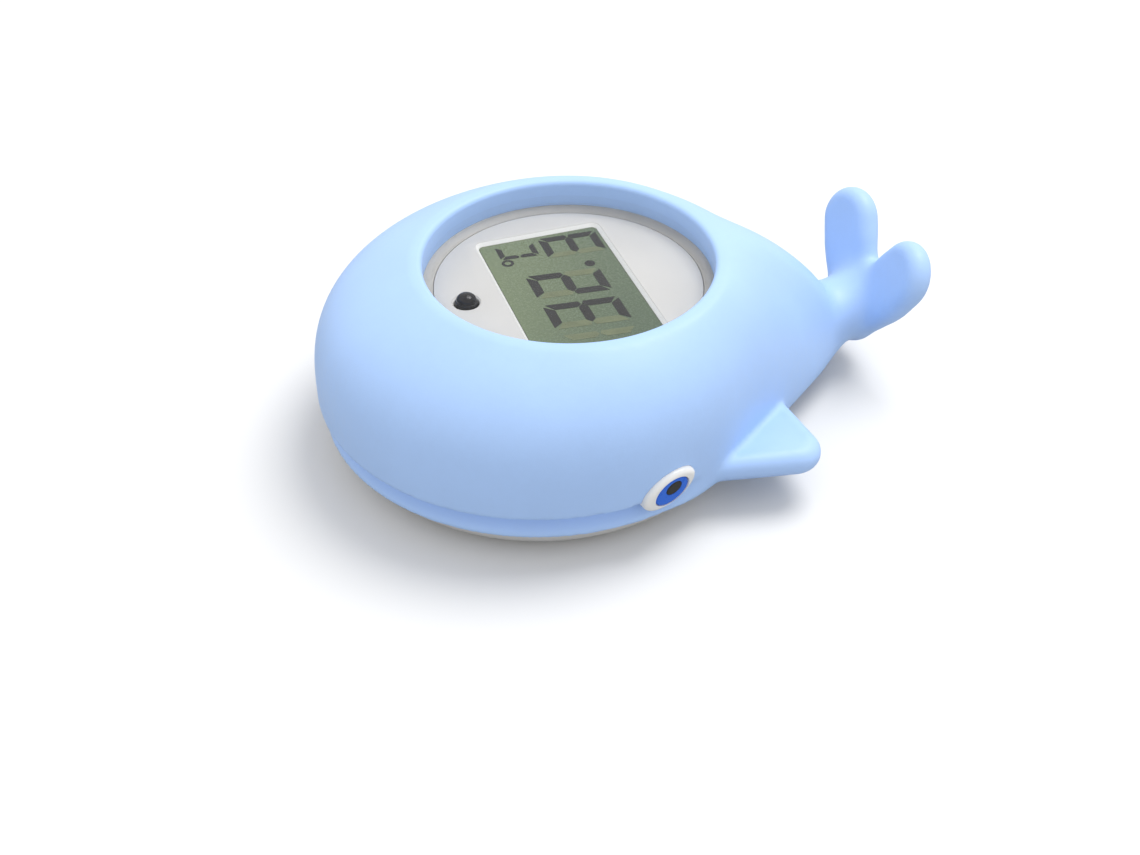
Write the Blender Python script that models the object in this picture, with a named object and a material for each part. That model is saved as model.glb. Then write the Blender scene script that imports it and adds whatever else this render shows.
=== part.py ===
# Baby bath thermometer: a floating whale with a round display module.
# Nose towards -X, tail towards +X, display readable from -Y, +Z up.
# The origin lies on the ground, on the axis of the round module.
import bpy
import bmesh
from math import asin, atan2, cos, pi, radians, sin, sqrt
from mathutils import Matrix, Vector

MM = 0.001

# Clearances
GAP = 0.3 * MM                      # between pieces that touch
SNUG = 0.35 * MM                    # round the module, where the soft body grips it

# Soft body, seen from above: a head circle and a tail circle joined by tangents
HEAD_R = 38.3 * MM
HEAD_X = -5.2 * MM
TAIL_R = 8.0 * MM
TAIL_X = 45.8 * MM
BODY_WALL = 2.2 * MM
CAVITY_TAIL_X = 35.0 * MM           # the tail is solid behind here
CAVITY_TAIL_R = 10.0 * MM

# Soft body, seen from the side
LIP_WIDTH = 2.7 * MM                # from the hole to the outside of the rolled lip
LIP_RISE = 2.4 * MM                 # lip crest above the clear lens
LIP_ROUND = 0.9 * MM
LIP_EDGE = 0.27 * MM                # softened edges of the lip's crest
HEAD_WIDEST_Z = 11.5 * MM
TAIL_WIDEST_Z = 6.4 * MM
HEAD_SKIRT_Z = 6.05 * MM            # lower edge of the jaw
TAIL_SKIRT_Z = 3.8 * MM
HEAD_FULLNESS = 3.2                 # higher is squarer
TAIL_FULLNESS = 1.42
HEAD_START = 49.0                   # degrees round the curve at which the dome leaves the lip
TAIL_START = 2.5
JAW_FULLNESS = 10.0
SKIRT_FULLNESS = 2.6                 # at the tail
MOUTH_DEPTH = 1.4 * MM
MOUTH_END_X = 8.0 * MM              # the mouth has died away here
MOUTH_FADE = 9.0 * MM
SKIRT_CURVE = (                     # share of the way down, share of the mouth's depth
    (0.14, 0.0), (0.18, 1.0), (0.38, 0.75), (0.62, 0.35), (0.85, 0.1), (0.97, 0.0), (1.0, 0.0))
COLLAR_DEPTH = 6.0 * MM             # of the sleeve that hangs round the lens

# Flippers: flat paddles with a rounded rim
FIN_TIP_X = 27.7 * MM
FIN_TIP_Y = 31.8 * MM
FIN_TIP_R = 4.7 * MM
FIN_ROOT_X = 13.7 * MM
FIN_ROOT_Y = 29.6 * MM
FIN_ROOT_R = 4.0 * MM
FIN_REAR_X = 29.2 * MM
FIN_REAR_Y = 21.6 * MM
FIN_REAR_R = 3.0 * MM
FIN_Z = 8.6 * MM
FIN_THICK = 4.8 * MM
RIM_ROUND = 2.1 * MM

# Flukes: two petals that stand up from the end of the tail
FLUKE_TILT = 75.0                   # degrees from the ground
FLUKE_CUP = 6.8                     # degrees that each petal turns towards the nose
FLUKE_FOOT_X = 56.4 * MM
FLUKE_FOOT_Z = 9.0 * MM
FLUKE_FOOT_R = 5.9 * MM
FLUKE_SIDE = 8.1 * MM               # the fullest part of a petal's outer edge
FLUKE_RISE = 9.9 * MM
FLUKE_TIP_SIDE = 10.0 * MM
FLUKE_TIP_RISE = 13.4 * MM
FLUKE_R = 6.2 * MM
FLUKE_THICK = 4.6 * MM
STALK_START_X = 46.0 * MM           # where the tail turns up into the flukes
STALK_START_Z = 9.6 * MM
STALK_TALL = 5.9 * MM
STALK_WIDE = 7.2 * MM
STALK_RISE = 10.0 * MM              # up the flukes
STALK_ROWS = 7

# Belly shell
BELLY_INSET = 2.1 * MM              # from the soft body's widest line in to the belly's edge
BELLY_TAIL_X = 29.0 * MM
BELLY_TAIL_R = 12.0 * MM
BELLY_STEP = 1.6 * MM               # from the visible edge in to the upstand
BELLY_UPSTAND = 2.4 * MM
BELLY_WALL = 2.0 * MM
BELLY_FLAT_SHARE = 0.55             # of the way in to the tube at which the flat base starts
BELLY_CURVE = (                     # share of the way in to the flat base, share of the height
    (0.0, 1.0), (0.0, 0.8), (0.12, 0.5), (0.36, 0.22), (0.68, 0.05), (1.0, 0.0))
BOSS_WALL = 1.075 * MM              # of the tube, outside the heads of the case screws

# Display module, from its face outwards and downwards
FACE_R = 22.5 * MM
FACE_Z = 27.6 * MM                  # top of the face above the ground
FACE_THICK = 1.0 * MM
LENS_SKIRT = 0.95 * MM
LENS_TOP_THICK = 0.9 * MM
LENS_HEADROOM = 2.1 * MM            # above the face
LENS_EDGE = 0.3 * MM                # chamfer
SEAL_HEIGHT = 0.8 * MM
SEAL_WIDTH = 0.75 * MM
WINDOW_INSET_X = (11.4 * MM, 11.9 * MM)     # from the face's rim in to the window's sides
WINDOW_INSET_Y = (4.7 * MM, 6.2 * MM)
WINDOW_BEVEL = 0.45 * MM
PANEL_MARGIN = 0.5 * MM
PANEL_THICK = 1.7 * MM
GLASS_SINK = 0.6 * MM               # of the display's glass below the face
STRIP_HEIGHT = 3.2 * MM
STRIP_WIDTH = 2.0 * MM
STRIP_LENGTH = 28.0 * MM
BOARD_THICK = 1.6 * MM
BOARD_ROOM = 0.45 * MM              # round the board
BOARD_EDGE = 0.9 * MM               # left outside its screw holes
CHIP_X = 2.0 * MM
CHIP_R = 4.0 * MM
CHIP_HEIGHT = 1.5 * MM
RIM_WALL = 1.7 * MM
SHOULDER_THICK = 5.0 * MM
WELL_EDGE = 2.1 * MM                # of the module's underside left outside the battery door
WELL_WALL = 1.8 * MM

# Alarm lamp
LAMP_INSET = 4.8 * MM               # from the face's rim in to its axis
LAMP_R = 2.0 * MM
LAMP_DOME_R = 1.65 * MM
LAMP_DOME_HEIGHT = 1.25 * MM
LAMP_STANDOFF = 2.0 * MM            # from the board up to its body
LAMP_LEG = 0.5 * MM

# Battery compartment, reached from below
CELL_X = 3.5 * MM
CELL_R = 10.0 * MM
CELL_THICK = 3.2 * MM
CELL_EDGE = 0.4 * MM                # rounding of the cell's rims
CELL_ROOM = 0.9 * MM
CELL_HEADROOM = 2.8 * MM
POCKET_WALL = 1.6 * MM
DOOR_THICK = 2.4 * MM
DOOR_SCREW_SEAT = 1.7 * MM          # above the ground
DOOR_LEDGE = 2.5 * MM
DOOR_SEAL_THICK = 1.0 * MM
DOOR_LUG_R = 2.5 * MM
DOOR_LUG_X = -11.0 * MM
DOOR_EDGE = 0.4 * MM                # chamfer
METAL_THICK = 0.3 * MM
SPRING_EYE_R = 2.0 * MM
SPRING_RIM = 1.5 * MM               # flat rim under the pocket's roof
SPRING_INSET = 1.5 * MM             # from the cell's rim
CONTACT_WIDTH = 3.0 * MM
CONTACT_TURN = 1.2 * MM

# Temperature sensor
SENSOR_TURN = 127.0                 # degrees
SENSOR_EDGE = 1.2 * MM              # of the module's underside left outside it
SENSOR_R = 2.4 * MM
SENSOR_LENGTH = 6.0 * MM
SENSOR_WALL = 0.4 * MM
SENSOR_ROUND = 0.9 * MM
BEAD_R = 1.1 * MM
BEAD_LEAD_R = 0.15 * MM
BEAD_LEADS_APART = 1.0 * MM

# Screws
SCREW_R = 0.8 * MM
SCREW_HEAD_R = 1.4 * MM
SCREW_HEAD = 1.2 * MM
SCREW_CROWN_R = 1.1 * MM            # flat middle of the head's top
SCREW_RIM = 0.7 * MM                # height of the head's straight rim
SCREW_TIP_R = 0.3 * MM
SCREW_TAPER = 0.15                  # share of the shank that narrows to the tip
RECESS_DEPTH = 0.55 * MM
RECESS_LENGTH = 1.7 * MM
RECESS_WIDTH = 0.55 * MM
CASE_SCREW_COUNT = 3
CASE_SCREW_LENGTH = 10.0 * MM
CASE_SCREW_TURN = 60.0              # degrees to the first one
BOARD_SCREW_TURN = 0.0
BOARD_SCREW_LENGTH = 5.0 * MM
DOOR_SCREW_LENGTH = 6.5 * MM

# Eyes, measured on the side of the head
EYE_X = 3.2 * MM
EYE_Z = 12.7 * MM
EYE_LENGTH = 10.4 * MM
EYE_HEIGHT = 6.7 * MM
EYE_TURN = 22.0                     # degrees, nose end down
EYE_SINK = 1.2 * MM
EYE_PROUD = 1.1 * MM
EYE_ROUND = 0.7 * MM
EYE_POWER = 1.8                     # under 2 draws the ends out
EYE_SEAT = 0.15 * MM                # from the head's widest line in to the eye's middle
IRIS_ROUND = 0.25 * MM
IRIS_LENGTH = 6.4 * MM
IRIS_HEIGHT = 5.0 * MM
IRIS_SHIFT = (0.5 * MM, -0.3 * MM)
IRIS_DEPTH = 0.9 * MM
PUPIL_LENGTH = 3.0 * MM
PUPIL_HEIGHT = 2.3 * MM
PUPIL_SHIFT = (0.3 * MM, 0.5 * MM)
PUPIL_DEPTH = 0.5 * MM

# Fineness of the round shapes
TAIL_STEPS = 4                      # half of the tail circle
SIDE_STEPS = 8
HEAD_STEPS = 19                     # half of the head circle
DOME_ROWS = 9
INNER_ROWS = 4
TURN_STEPS = 40
SMALL_STEPS = 12
LUG_STEPS = 10
RIM_STEPS = 3                       # round the edges of the flippers and flukes
PADDLE_STEP = 24.0                  # degrees
SMOOTH_ANGLE = 32.0

# Sizes and places that follow from those above
LENS_R = FACE_R + GAP + LENS_SKIRT
HOLE_R = LENS_R + SNUG
LIP_R = HOLE_R + LIP_WIDTH
LENS_TOP = FACE_Z + LENS_HEADROOM + LENS_TOP_THICK
LIP_Z = LENS_TOP + LIP_RISE
FACE_UNDER = FACE_Z - FACE_THICK
RIM_Z = FACE_UNDER - GAP
RIM_R = LENS_R
CHAMBER_R = RIM_R - RIM_WALL
BOARD_R = CHAMBER_R - BOARD_ROOM
WINDOW_X = (WINDOW_INSET_X[0] - FACE_R, FACE_R - WINDOW_INSET_X[1])
WINDOW_Y = (WINDOW_INSET_Y[0] - FACE_R, FACE_R - WINDOW_INSET_Y[1])
LAMP_X = LAMP_INSET - FACE_R
PANEL_TOP = FACE_UNDER - GAP
PANEL_UNDER = PANEL_TOP - PANEL_THICK
BOARD_TOP = PANEL_UNDER - 2 * GAP - STRIP_HEIGHT
BOARD_UNDER = BOARD_TOP - BOARD_THICK
LEDGE_Z = BOARD_UNDER - GAP
SHOULDER_Z = LEDGE_Z - SHOULDER_THICK
BOARD_SCREW_R = BOARD_R - BOARD_EDGE - GAP - SCREW_R
DOOR_TOP = DOOR_THICK
DOOR_SEAL_Z = DOOR_TOP + GAP
DOOR_LEDGE_Z = DOOR_SEAL_Z + DOOR_SEAL_THICK + GAP
POCKET_R = CELL_R + CELL_ROOM
DOOR_R = POCKET_R + DOOR_LEDGE
CELL_Z = DOOR_LEDGE_Z + GAP
POCKET_TOP = CELL_Z + CELL_THICK + CELL_HEADROOM
WELL_R = CELL_X + DOOR_R + WELL_EDGE
TUBE_R = WELL_R + GAP
CASE_SCREW_R = (TUBE_R + RIM_R) / 2
TUBE_OUTER_R = CASE_SCREW_R + SCREW_HEAD_R + GAP + BOSS_WALL
STALK_END_TALL = 0.4 * FLUKE_THICK
STALK_END_WIDE = 0.9 * FLUKE_FOOT_R
SENSOR_REACH = WELL_R - SENSOR_EDGE - SENSOR_R
SENSOR_X = SENSOR_REACH * cos(radians(SENSOR_TURN))
SENSOR_Y = SENSOR_REACH * sin(radians(SENSOR_TURN))
BELLY_R = HEAD_R - BELLY_INSET
BELLY_FLAT_INSET = (BELLY_R - TUBE_OUTER_R) * BELLY_FLAT_SHARE


# Helpers

def clear_scene():
    for thing in list(bpy.data.objects):
        bpy.data.objects.remove(thing, do_unlink=True)


def finish(obj, colour, roughness, metallic=0.0, alpha=1.0):
    material = bpy.data.materials.new(obj.name)
    material.use_nodes = True
    shader = material.node_tree.nodes["Principled BSDF"]
    shader.inputs["Base Color"].default_value = (*colour, 1.0)
    shader.inputs["Roughness"].default_value = roughness
    shader.inputs["Metallic"].default_value = metallic
    shader.inputs["Alpha"].default_value = alpha
    material.diffuse_color = (*colour, alpha)
    obj.data.materials.clear()
    obj.data.materials.append(material)
    return obj


def make_object(name, bm):
    """Turn a bmesh into a named, smoothly shaded object."""
    bmesh.ops.recalc_face_normals(bm, faces=bm.faces)
    mesh = bpy.data.meshes.new(name)
    bm.to_mesh(mesh)
    bm.free()
    mesh.shade_smooth()
    mesh.set_sharp_from_angle(angle=radians(SMOOTH_ANGLE))
    obj = bpy.data.objects.new(name, mesh)
    bpy.context.collection.objects.link(obj)
    return obj


def loft(bm, rings, ring_to_ring=False):
    """Join closed rings of points; cap both ends, or join the last ring to the first."""
    rows = [[bm.verts.new(point) for point in ring] for ring in rings]
    pairs = list(zip(rows, rows[1:]))
    if ring_to_ring:
        pairs.append((rows[-1], rows[0]))
    for low, high in pairs:
        count = len(low)
        for i in range(count):
            j = (i + 1) % count
            bm.faces.new((low[i], low[j], high[j], high[i]))
    if not ring_to_ring:
        bm.faces.new(rows[0])
        bm.faces.new(rows[-1])


def circle(radius, height, steps, centre=(0.0, 0.0)):
    return [
        Vector((centre[0] + radius * cos(2 * pi * i / steps),
                centre[1] + radius * sin(2 * pi * i / steps), height))
        for i in range(steps)
    ]


def turned(name, profile, steps=TURN_STEPS, centre=(0.0, 0.0), ring=False):
    """Turn (radius, height) points round a vertical axis; ring=True leaves the middle open."""
    bm = bmesh.new()
    loft(bm, [circle(r, z, steps, centre) for r, z in profile], ring_to_ring=ring)
    return make_object(name, bm)


def prism(name, outline, low, high):
    """Stand a flat outline up between two heights."""
    bm = bmesh.new()
    loft(bm, [[Vector((x, y, z)) for x, y in outline] for z in (low, high)])
    return make_object(name, bm)


def block(name, low, high):
    (x0, y0, z0), (x1, y1, z1) = low, high
    return prism(name, [(x0, y0), (x1, y0), (x1, y1), (x0, y1)], z0, z1)


def as_guide(obj):
    obj.hide_render = True
    obj.display_type = 'WIRE'
    return obj


def boolean(obj, other, operation):
    modifier = obj.modifiers.new(other.name, 'BOOLEAN')
    modifier.operation = operation
    modifier.solver = 'EXACT'
    modifier.object = as_guide(other)
    return obj


def cut(obj, other):
    return boolean(obj, other, 'DIFFERENCE')


def add(obj, other):
    return boolean(obj, other, 'UNION')


def round_edges(obj, width, segments, angle=40.0):
    modifier = obj.modifiers.new("rounded_edges", 'BEVEL')
    modifier.width = width
    modifier.segments = segments
    modifier.limit_method = 'ANGLE'
    modifier.angle_limit = radians(angle)
    return obj


def arc(centre, radius, start, end, steps):
    """Points along an arc, angles in radians, both ends included."""
    return [
        (centre[0] + radius * cos(start + (end - start) * i / steps),
         centre[1] + radius * sin(start + (end - start) * i / steps))
        for i in range(steps + 1)
    ]


def fade(low, high, value):
    t = min(max((value - low) / (high - low), 0.0), 1.0)
    return t * t * (3 - 2 * t)


def mix(a, b, t):
    return a + (b - a) * t


# Outlines seen from above

def teardrop(head_x, head_r, tail_x, tail_r):
    """Head circle and tail circle with their common tangents, from the tail's tip round."""
    lean = pi / 2 - asin((head_r - tail_r) / (tail_x - head_x))
    tail = arc((tail_x, 0.0), tail_r, 0.0, lean, TAIL_STEPS)
    head = arc((head_x, 0.0), head_r, lean, pi, HEAD_STEPS)
    (x0, y0), (x1, y1) = tail[-1], head[0]
    side = [(mix(x0, x1, i / SIDE_STEPS), mix(y0, y1, i / SIDE_STEPS)) for i in range(1, SIDE_STEPS)]
    upper = tail + side + head
    lower = [(x, -y) for x, y in reversed(upper[1:-1])]
    return upper + lower


def body_outline():
    return teardrop(HEAD_X, HEAD_R, TAIL_X, TAIL_R)


def cavity_outline(grow=0.0):
    return teardrop(HEAD_X, HEAD_R - BODY_WALL + grow, CAVITY_TAIL_X, CAVITY_TAIL_R + grow)


def belly_outline(inset=0.0):
    return teardrop(HEAD_X, BELLY_R - inset, BELLY_TAIL_X, BELLY_TAIL_R - inset)


def tail_share(x):
    """0 on the head, 1 at the tail."""
    return fade(HEAD_X + HEAD_R / 3, TAIL_X, x)


def skirt_heights():
    """Height of the soft body's lower edge at each point of its outline."""
    return [mix(HEAD_SKIRT_Z, TAIL_SKIRT_Z, tail_share(x)) for x, y in body_outline()]


def mouth_share(x):
    """1 round the nose, 0 behind the eyes."""
    return 1.0 - fade(MOUTH_END_X - MOUTH_FADE, MOUTH_END_X, x)


# Soft body

def dome_rows(outline, lip_r, lip_z, rows):
    """Rings from the lip out and down to the widest line, rounder on the head than on the tail."""
    rings = []
    for row in range(rows + 1):
        ring = []
        for x, y in outline:
            share = tail_share(x)
            fullness = 2 / mix(HEAD_FULLNESS, TAIL_FULLNESS, share)
            start = radians(mix(HEAD_START, TAIL_START, share))
            angle = mix(start, pi / 2, row / rows)
            out = (sin(angle) ** fullness - sin(start) ** fullness) / (1 - sin(start) ** fullness)
            down = 1 - (max(cos(angle), 0.0) / cos(start)) ** fullness
            turn = atan2(y, x)
            near = (lip_r * cos(turn), lip_r * sin(turn))
            widest = mix(HEAD_WIDEST_Z, TAIL_WIDEST_Z, share)
            ring.append(Vector((mix(near[0], x, out), mix(near[1], y, out),
                                mix(lip_z, widest, down))))
        rings.append(ring)
    return rings


def skirt_rows(outline, seam):
    """Rings from the widest line down to the seam, with the mouth's step round the nose."""
    rings = []
    for down, groove in SKIRT_CURVE:
        ring = []
        for (x, y), (seam_x, seam_y) in zip(outline, seam):
            share = tail_share(x)
            fullness = mix(JAW_FULLNESS, SKIRT_FULLNESS, share)
            inward = 1 - max(1 - down ** fullness, 0.0) ** (1 / fullness)
            widest = mix(HEAD_WIDEST_Z, TAIL_WIDEST_Z, share)
            skirt = mix(HEAD_SKIRT_Z, TAIL_SKIRT_Z, share)
            step = MOUTH_DEPTH * groove * mouth_share(x)
            towards = Vector((HEAD_X - x, -y, 0.0)).normalized() * step
            ring.append(Vector((mix(x, seam_x, inward), mix(y, seam_y, inward),
                                mix(widest, skirt, down))) + towards)
        rings.append(ring)
    return rings


def level_ring(outline, height):
    return [Vector((x, y, height)) for x, y in outline]


def seam_ring(outline, above, scale=1.0):
    """A ring that keeps its distance from the soft body's lower edge."""
    return [Vector((x, y, (z + above) * scale)) for (x, y), z in zip(outline, skirt_heights())]


def lip_rings():
    """The rolled lip, from the wall of the hole over to the outside."""
    turns = [atan2(y, x) for x, y in body_outline()]
    crest = HOLE_R + LIP_WIDTH / 2
    profile = [
        (HOLE_R, LENS_TOP - COLLAR_DEPTH),
        (HOLE_R, LIP_Z - LIP_ROUND),
        (HOLE_R + LIP_EDGE, LIP_Z - LIP_EDGE),
        (crest, LIP_Z),
    ]
    return [[Vector((r * cos(t), r * sin(t), z)) for t in turns] for r, z in profile]


def collar_ring():
    """The lower outer edge of the sleeve round the lens."""
    turns = [atan2(y, x) for x, y in body_outline()]
    radius = HOLE_R + BODY_WALL
    return [Vector((radius * cos(t), radius * sin(t), LENS_TOP - COLLAR_DEPTH)) for t in turns]


def paddle(name, hubs, thickness):
    """Flat outline round a few circles, in their order, stood up about z = 0 with a rounded rim."""
    outline = []
    count = len(hubs)
    for i in range(count):
        (x, y, r), before, after = hubs[i], hubs[i - 1], hubs[(i + 1) % count]
        start = tangent_turn(before, hubs[i])
        end = tangent_turn(hubs[i], after)
        while end < start:
            end += 2 * pi
        outline += arc((x, y), r, start, end, max(1, round((end - start) / radians(PADDLE_STEP))))
    obj = prism(name, outline, -thickness / 2, thickness / 2)
    return round_edges(obj, RIM_ROUND, RIM_STEPS)


def tangent_turn(first, second):
    """Direction of the outer tangent's normal from one circle to the next, going anticlockwise."""
    dx, dy = second[0] - first[0], second[1] - first[1]
    return atan2(dy, dx) - pi / 2 + asin((first[2] - second[2]) / sqrt(dx * dx + dy * dy))


def cavity_roof(grow=0.0):
    """Rings of the hollow inside, from the sleeve out and down to the widest line."""
    return dome_rows(cavity_outline(grow), HOLE_R + BODY_WALL - grow, LIP_Z - LIP_ROUND - BODY_WALL + grow,
                     INNER_ROWS)


def hollow_form(name):
    """The hollow as a solid, a little larger, for trimming what must not reach into it."""
    seam = belly_outline(BELLY_STEP - 2 * GAP)
    rings = [seam_ring(seam, -HEAD_SKIRT_Z), seam_ring(seam, BODY_WALL)]
    rings += reversed(cavity_roof(GAP))
    bm = bmesh.new()
    loft(bm, rings)
    return make_object(name, bm)


def fin(name, side, hollow):
    hubs = [(FIN_ROOT_X, FIN_ROOT_Y, FIN_ROOT_R), (FIN_REAR_X, FIN_REAR_Y, FIN_REAR_R),
            (FIN_TIP_X, FIN_TIP_Y, FIN_TIP_R)]
    if side < 0:
        hubs = [(x, -y, r) for x, y, r in reversed(hubs)]
    obj = paddle(name, hubs, FIN_THICK)
    obj.location.z = FIN_Z
    return cut(obj, hollow)


def fluke_petal(name, side):
    hubs = [(0.0, 0.0, FLUKE_FOOT_R), (FLUKE_SIDE, FLUKE_RISE, FLUKE_R),
            (FLUKE_TIP_SIDE, FLUKE_TIP_RISE, FLUKE_R)]
    if side < 0:
        hubs = [(-x, y, r) for x, y, r in reversed(hubs)]
    obj = paddle(name, hubs, FLUKE_THICK)
    lean, cup = radians(FLUKE_TILT), radians(FLUKE_CUP)
    up = Vector((cos(lean), 0.0, sin(lean)))
    front = Vector((-sin(lean), 0.0, cos(lean)))
    across = Vector((0.0, cos(cup), 0.0)) + front * (side * sin(cup))
    frame = Matrix((across, up, across.cross(up))).transposed().to_4x4()
    obj.matrix_world = Matrix.Translation((FLUKE_FOOT_X, 0.0, FLUKE_FOOT_Z)) @ frame
    return obj


def fluke_stalk(name):
    """The end of the tail, turning up between the petals."""
    lean = radians(FLUKE_TILT)
    start = Vector((STALK_START_X, 0.0, STALK_START_Z))
    corner = Vector((FLUKE_FOOT_X, 0.0, STALK_START_Z))
    end = corner + Vector((cos(lean), 0.0, sin(lean))) * STALK_RISE
    rings = []
    for row in range(STALK_ROWS + 1):
        t = row / STALK_ROWS
        centre = start * (1 - t) ** 2 + corner * 2 * t * (1 - t) + end * t * t
        along = ((corner - start) * (1 - t) + (end - corner) * t).normalized()
        up = along.cross(Vector((0.0, 1.0, 0.0)))
        tall = mix(STALK_TALL, STALK_END_TALL, t * t)
        wide = mix(STALK_WIDE, STALK_END_WIDE, t)
        rings.append([centre + up * (tall * sin(a)) + Vector((0.0, wide * cos(a), 0.0))
                      for a in (2 * pi * i / SMALL_STEPS for i in range(SMALL_STEPS))])
    bm = bmesh.new()
    loft(bm, rings)
    return make_object(name, bm)


def whale_body():
    outline = body_outline()
    seam = belly_outline(BELLY_STEP - GAP)
    rings = lip_rings()
    rings += dome_rows(outline, LIP_R, LIP_Z - LIP_EDGE, DOME_ROWS)
    rings += skirt_rows(outline, seam)
    rings.append(seam_ring(seam, BODY_WALL))
    rings += reversed(cavity_roof())
    rings.append(collar_ring())
    bm = bmesh.new()
    loft(bm, rings, ring_to_ring=True)
    body = make_object("whale_body", bm)
    hollow = hollow_form("hollow_form")
    for side, hand in ((1, "right"), (-1, "left")):
        add(body, fin("fin_form_" + hand, side, hollow))
        add(body, fluke_petal("fluke_form_" + hand, side))
        cut(body, eye_socket("eye_socket_" + hand, side))
    add(body, fluke_stalk("fluke_stalk_form"))
    return finish(body, (0.40, 0.60, 1.0), 0.42)


# Belly shell

def belly_shell():
    edge = belly_outline()
    low = [Vector((x, y, 0.0)) for x, y in edge]
    turns = [atan2(point.y, point.x) for point in low]

    def round_ring(radius, height):
        return [Vector((radius * cos(t), radius * sin(t), height)) for t in turns]

    rings = [seam_ring(belly_outline(BELLY_STEP), BELLY_UPSTAND),
             seam_ring(belly_outline(BELLY_STEP), -GAP)]
    rings += [seam_ring(belly_outline(BELLY_FLAT_INSET * inward), -GAP, up) for inward, up in BELLY_CURVE]
    tube_top = SHOULDER_Z - GAP
    rings += [round_ring(TUBE_R, 0.0), round_ring(TUBE_R, tube_top),
              round_ring(TUBE_OUTER_R, tube_top), round_ring(TUBE_OUTER_R, BELLY_WALL),
              level_ring(belly_outline(BELLY_FLAT_INSET + BELLY_WALL), BELLY_WALL),
              seam_ring(belly_outline(BELLY_STEP + BELLY_WALL), -GAP),
              seam_ring(belly_outline(BELLY_STEP + BELLY_WALL), BELLY_UPSTAND)]
    bm = bmesh.new()
    loft(bm, rings, ring_to_ring=True)
    shell = make_object("belly_shell", bm)
    for number, (x, y) in enumerate(case_screw_places()):
        head_z = SHOULDER_Z + SHOULDER_THICK - GAP - CASE_SCREW_LENGTH
        cut(shell, turned(f"belly_screw_hole_{number + 1}", [
            (SCREW_HEAD_R + GAP, -GAP), (SCREW_HEAD_R + GAP, head_z + GAP),
            (SCREW_R + GAP, head_z + GAP), (SCREW_R + GAP, tube_top + GAP),
        ], SMALL_STEPS, (x, y)))
    return finish(shell, (0.80, 0.80, 0.80), 0.35)


def case_screw_places():
    turns = [radians(CASE_SCREW_TURN + 360 * i / CASE_SCREW_COUNT) for i in range(CASE_SCREW_COUNT)]
    return [(CASE_SCREW_R * cos(t), CASE_SCREW_R * sin(t)) for t in turns]


def board_screw_places():
    turns = [radians(BOARD_SCREW_TURN + 90 + 180 * i) for i in range(2)]
    return [(BOARD_SCREW_R * cos(t), BOARD_SCREW_R * sin(t)) for t in turns]


def screw(name, place, under_head, length, points_up):
    """A pan head screw whose shank starts at under_head and runs up or down."""
    way = 1 if points_up else -1
    profile = [
        (SCREW_CROWN_R, under_head - way * SCREW_HEAD),
        (SCREW_HEAD_R, under_head - way * SCREW_RIM),
        (SCREW_HEAD_R, under_head),
        (SCREW_R, under_head),
        (SCREW_R, under_head + way * length * (1 - SCREW_TAPER)),
        (SCREW_TIP_R, under_head + way * length),
    ]
    obj = turned(name, profile, SMALL_STEPS, place)
    floor = under_head - way * (SCREW_HEAD - RECESS_DEPTH)
    above = under_head - way * (SCREW_HEAD + GAP)
    long, wide = RECESS_LENGTH / 2, RECESS_WIDTH / 2
    for turn, (a, b) in enumerate(((long, wide), (wide, long))):
        cut(obj, block(f"{name}_recess_{turn + 1}",
                       (place[0] - a, place[1] - b, min(floor, above)),
                       (place[0] + a, place[1] + b, max(floor, above))))
    return finish(obj, (0.62, 0.63, 0.65), 0.3, metallic=1.0)


def case_screws():
    head_z = SHOULDER_Z + SHOULDER_THICK - GAP - CASE_SCREW_LENGTH
    for number, place in enumerate(case_screw_places()):
        screw(f"case_screw_{number + 1}", place, head_z, CASE_SCREW_LENGTH - GAP, True)


# Module housing

def module_housing():
    floor = POCKET_TOP + POCKET_WALL
    profile = [
        (WELL_R, 0.0), (WELL_R, SHOULDER_Z), (RIM_R, SHOULDER_Z), (RIM_R, RIM_Z),
        (CHAMBER_R, RIM_Z), (CHAMBER_R, LEDGE_Z), (WELL_R - WELL_WALL, LEDGE_Z),
        (WELL_R - WELL_WALL, floor),
    ]
    housing = turned("module_housing", profile)
    cut(housing, turned("door_recess", [(DOOR_R + GAP, -GAP), (DOOR_R + GAP, DOOR_LEDGE_Z)],
                        TURN_STEPS, (CELL_X, 0.0)))
    cut(housing, turned("cell_pocket", [(POCKET_R, -GAP), (POCKET_R, POCKET_TOP)],
                        TURN_STEPS, (CELL_X, 0.0)))
    cut(housing, prism("lug_recess", lug_outline(GAP), -GAP, DOOR_TOP + GAP))
    cut(housing, turned("sensor_bore", [(SENSOR_R + GAP, -GAP), (SENSOR_R + GAP, floor + GAP)],
                        SMALL_STEPS, (SENSOR_X, SENSOR_Y)))
    cut(housing, turned("door_screw_bore", [
        (SCREW_R + GAP, DOOR_TOP), (SCREW_R + GAP, DOOR_TOP + DOOR_SCREW_LENGTH)],
        SMALL_STEPS, (DOOR_LUG_X, 0.0)))
    for number, place in enumerate(case_screw_places()):
        cut(housing, turned(f"case_screw_bore_{number + 1}", [
            (SCREW_R + GAP, SHOULDER_Z - GAP), (SCREW_R + GAP, LEDGE_Z - GAP)], SMALL_STEPS, place))
    for number, place in enumerate(board_screw_places()):
        cut(housing, turned(f"board_screw_bore_{number + 1}", [
            (SCREW_R + GAP, BOARD_TOP - BOARD_SCREW_LENGTH), (SCREW_R + GAP, LEDGE_Z + GAP)],
            SMALL_STEPS, place))
    return finish(housing, (0.72, 0.74, 0.76), 0.4)


def lug_outline(grow=0.0):
    """The screw lug on the door's edge, running in to the door's middle."""
    radius = DOOR_LUG_R + grow
    round_end = arc((DOOR_LUG_X, 0.0), radius, pi / 2, 3 * pi / 2, LUG_STEPS)
    return round_end + [(CELL_X, -radius), (CELL_X, radius)]


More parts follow.
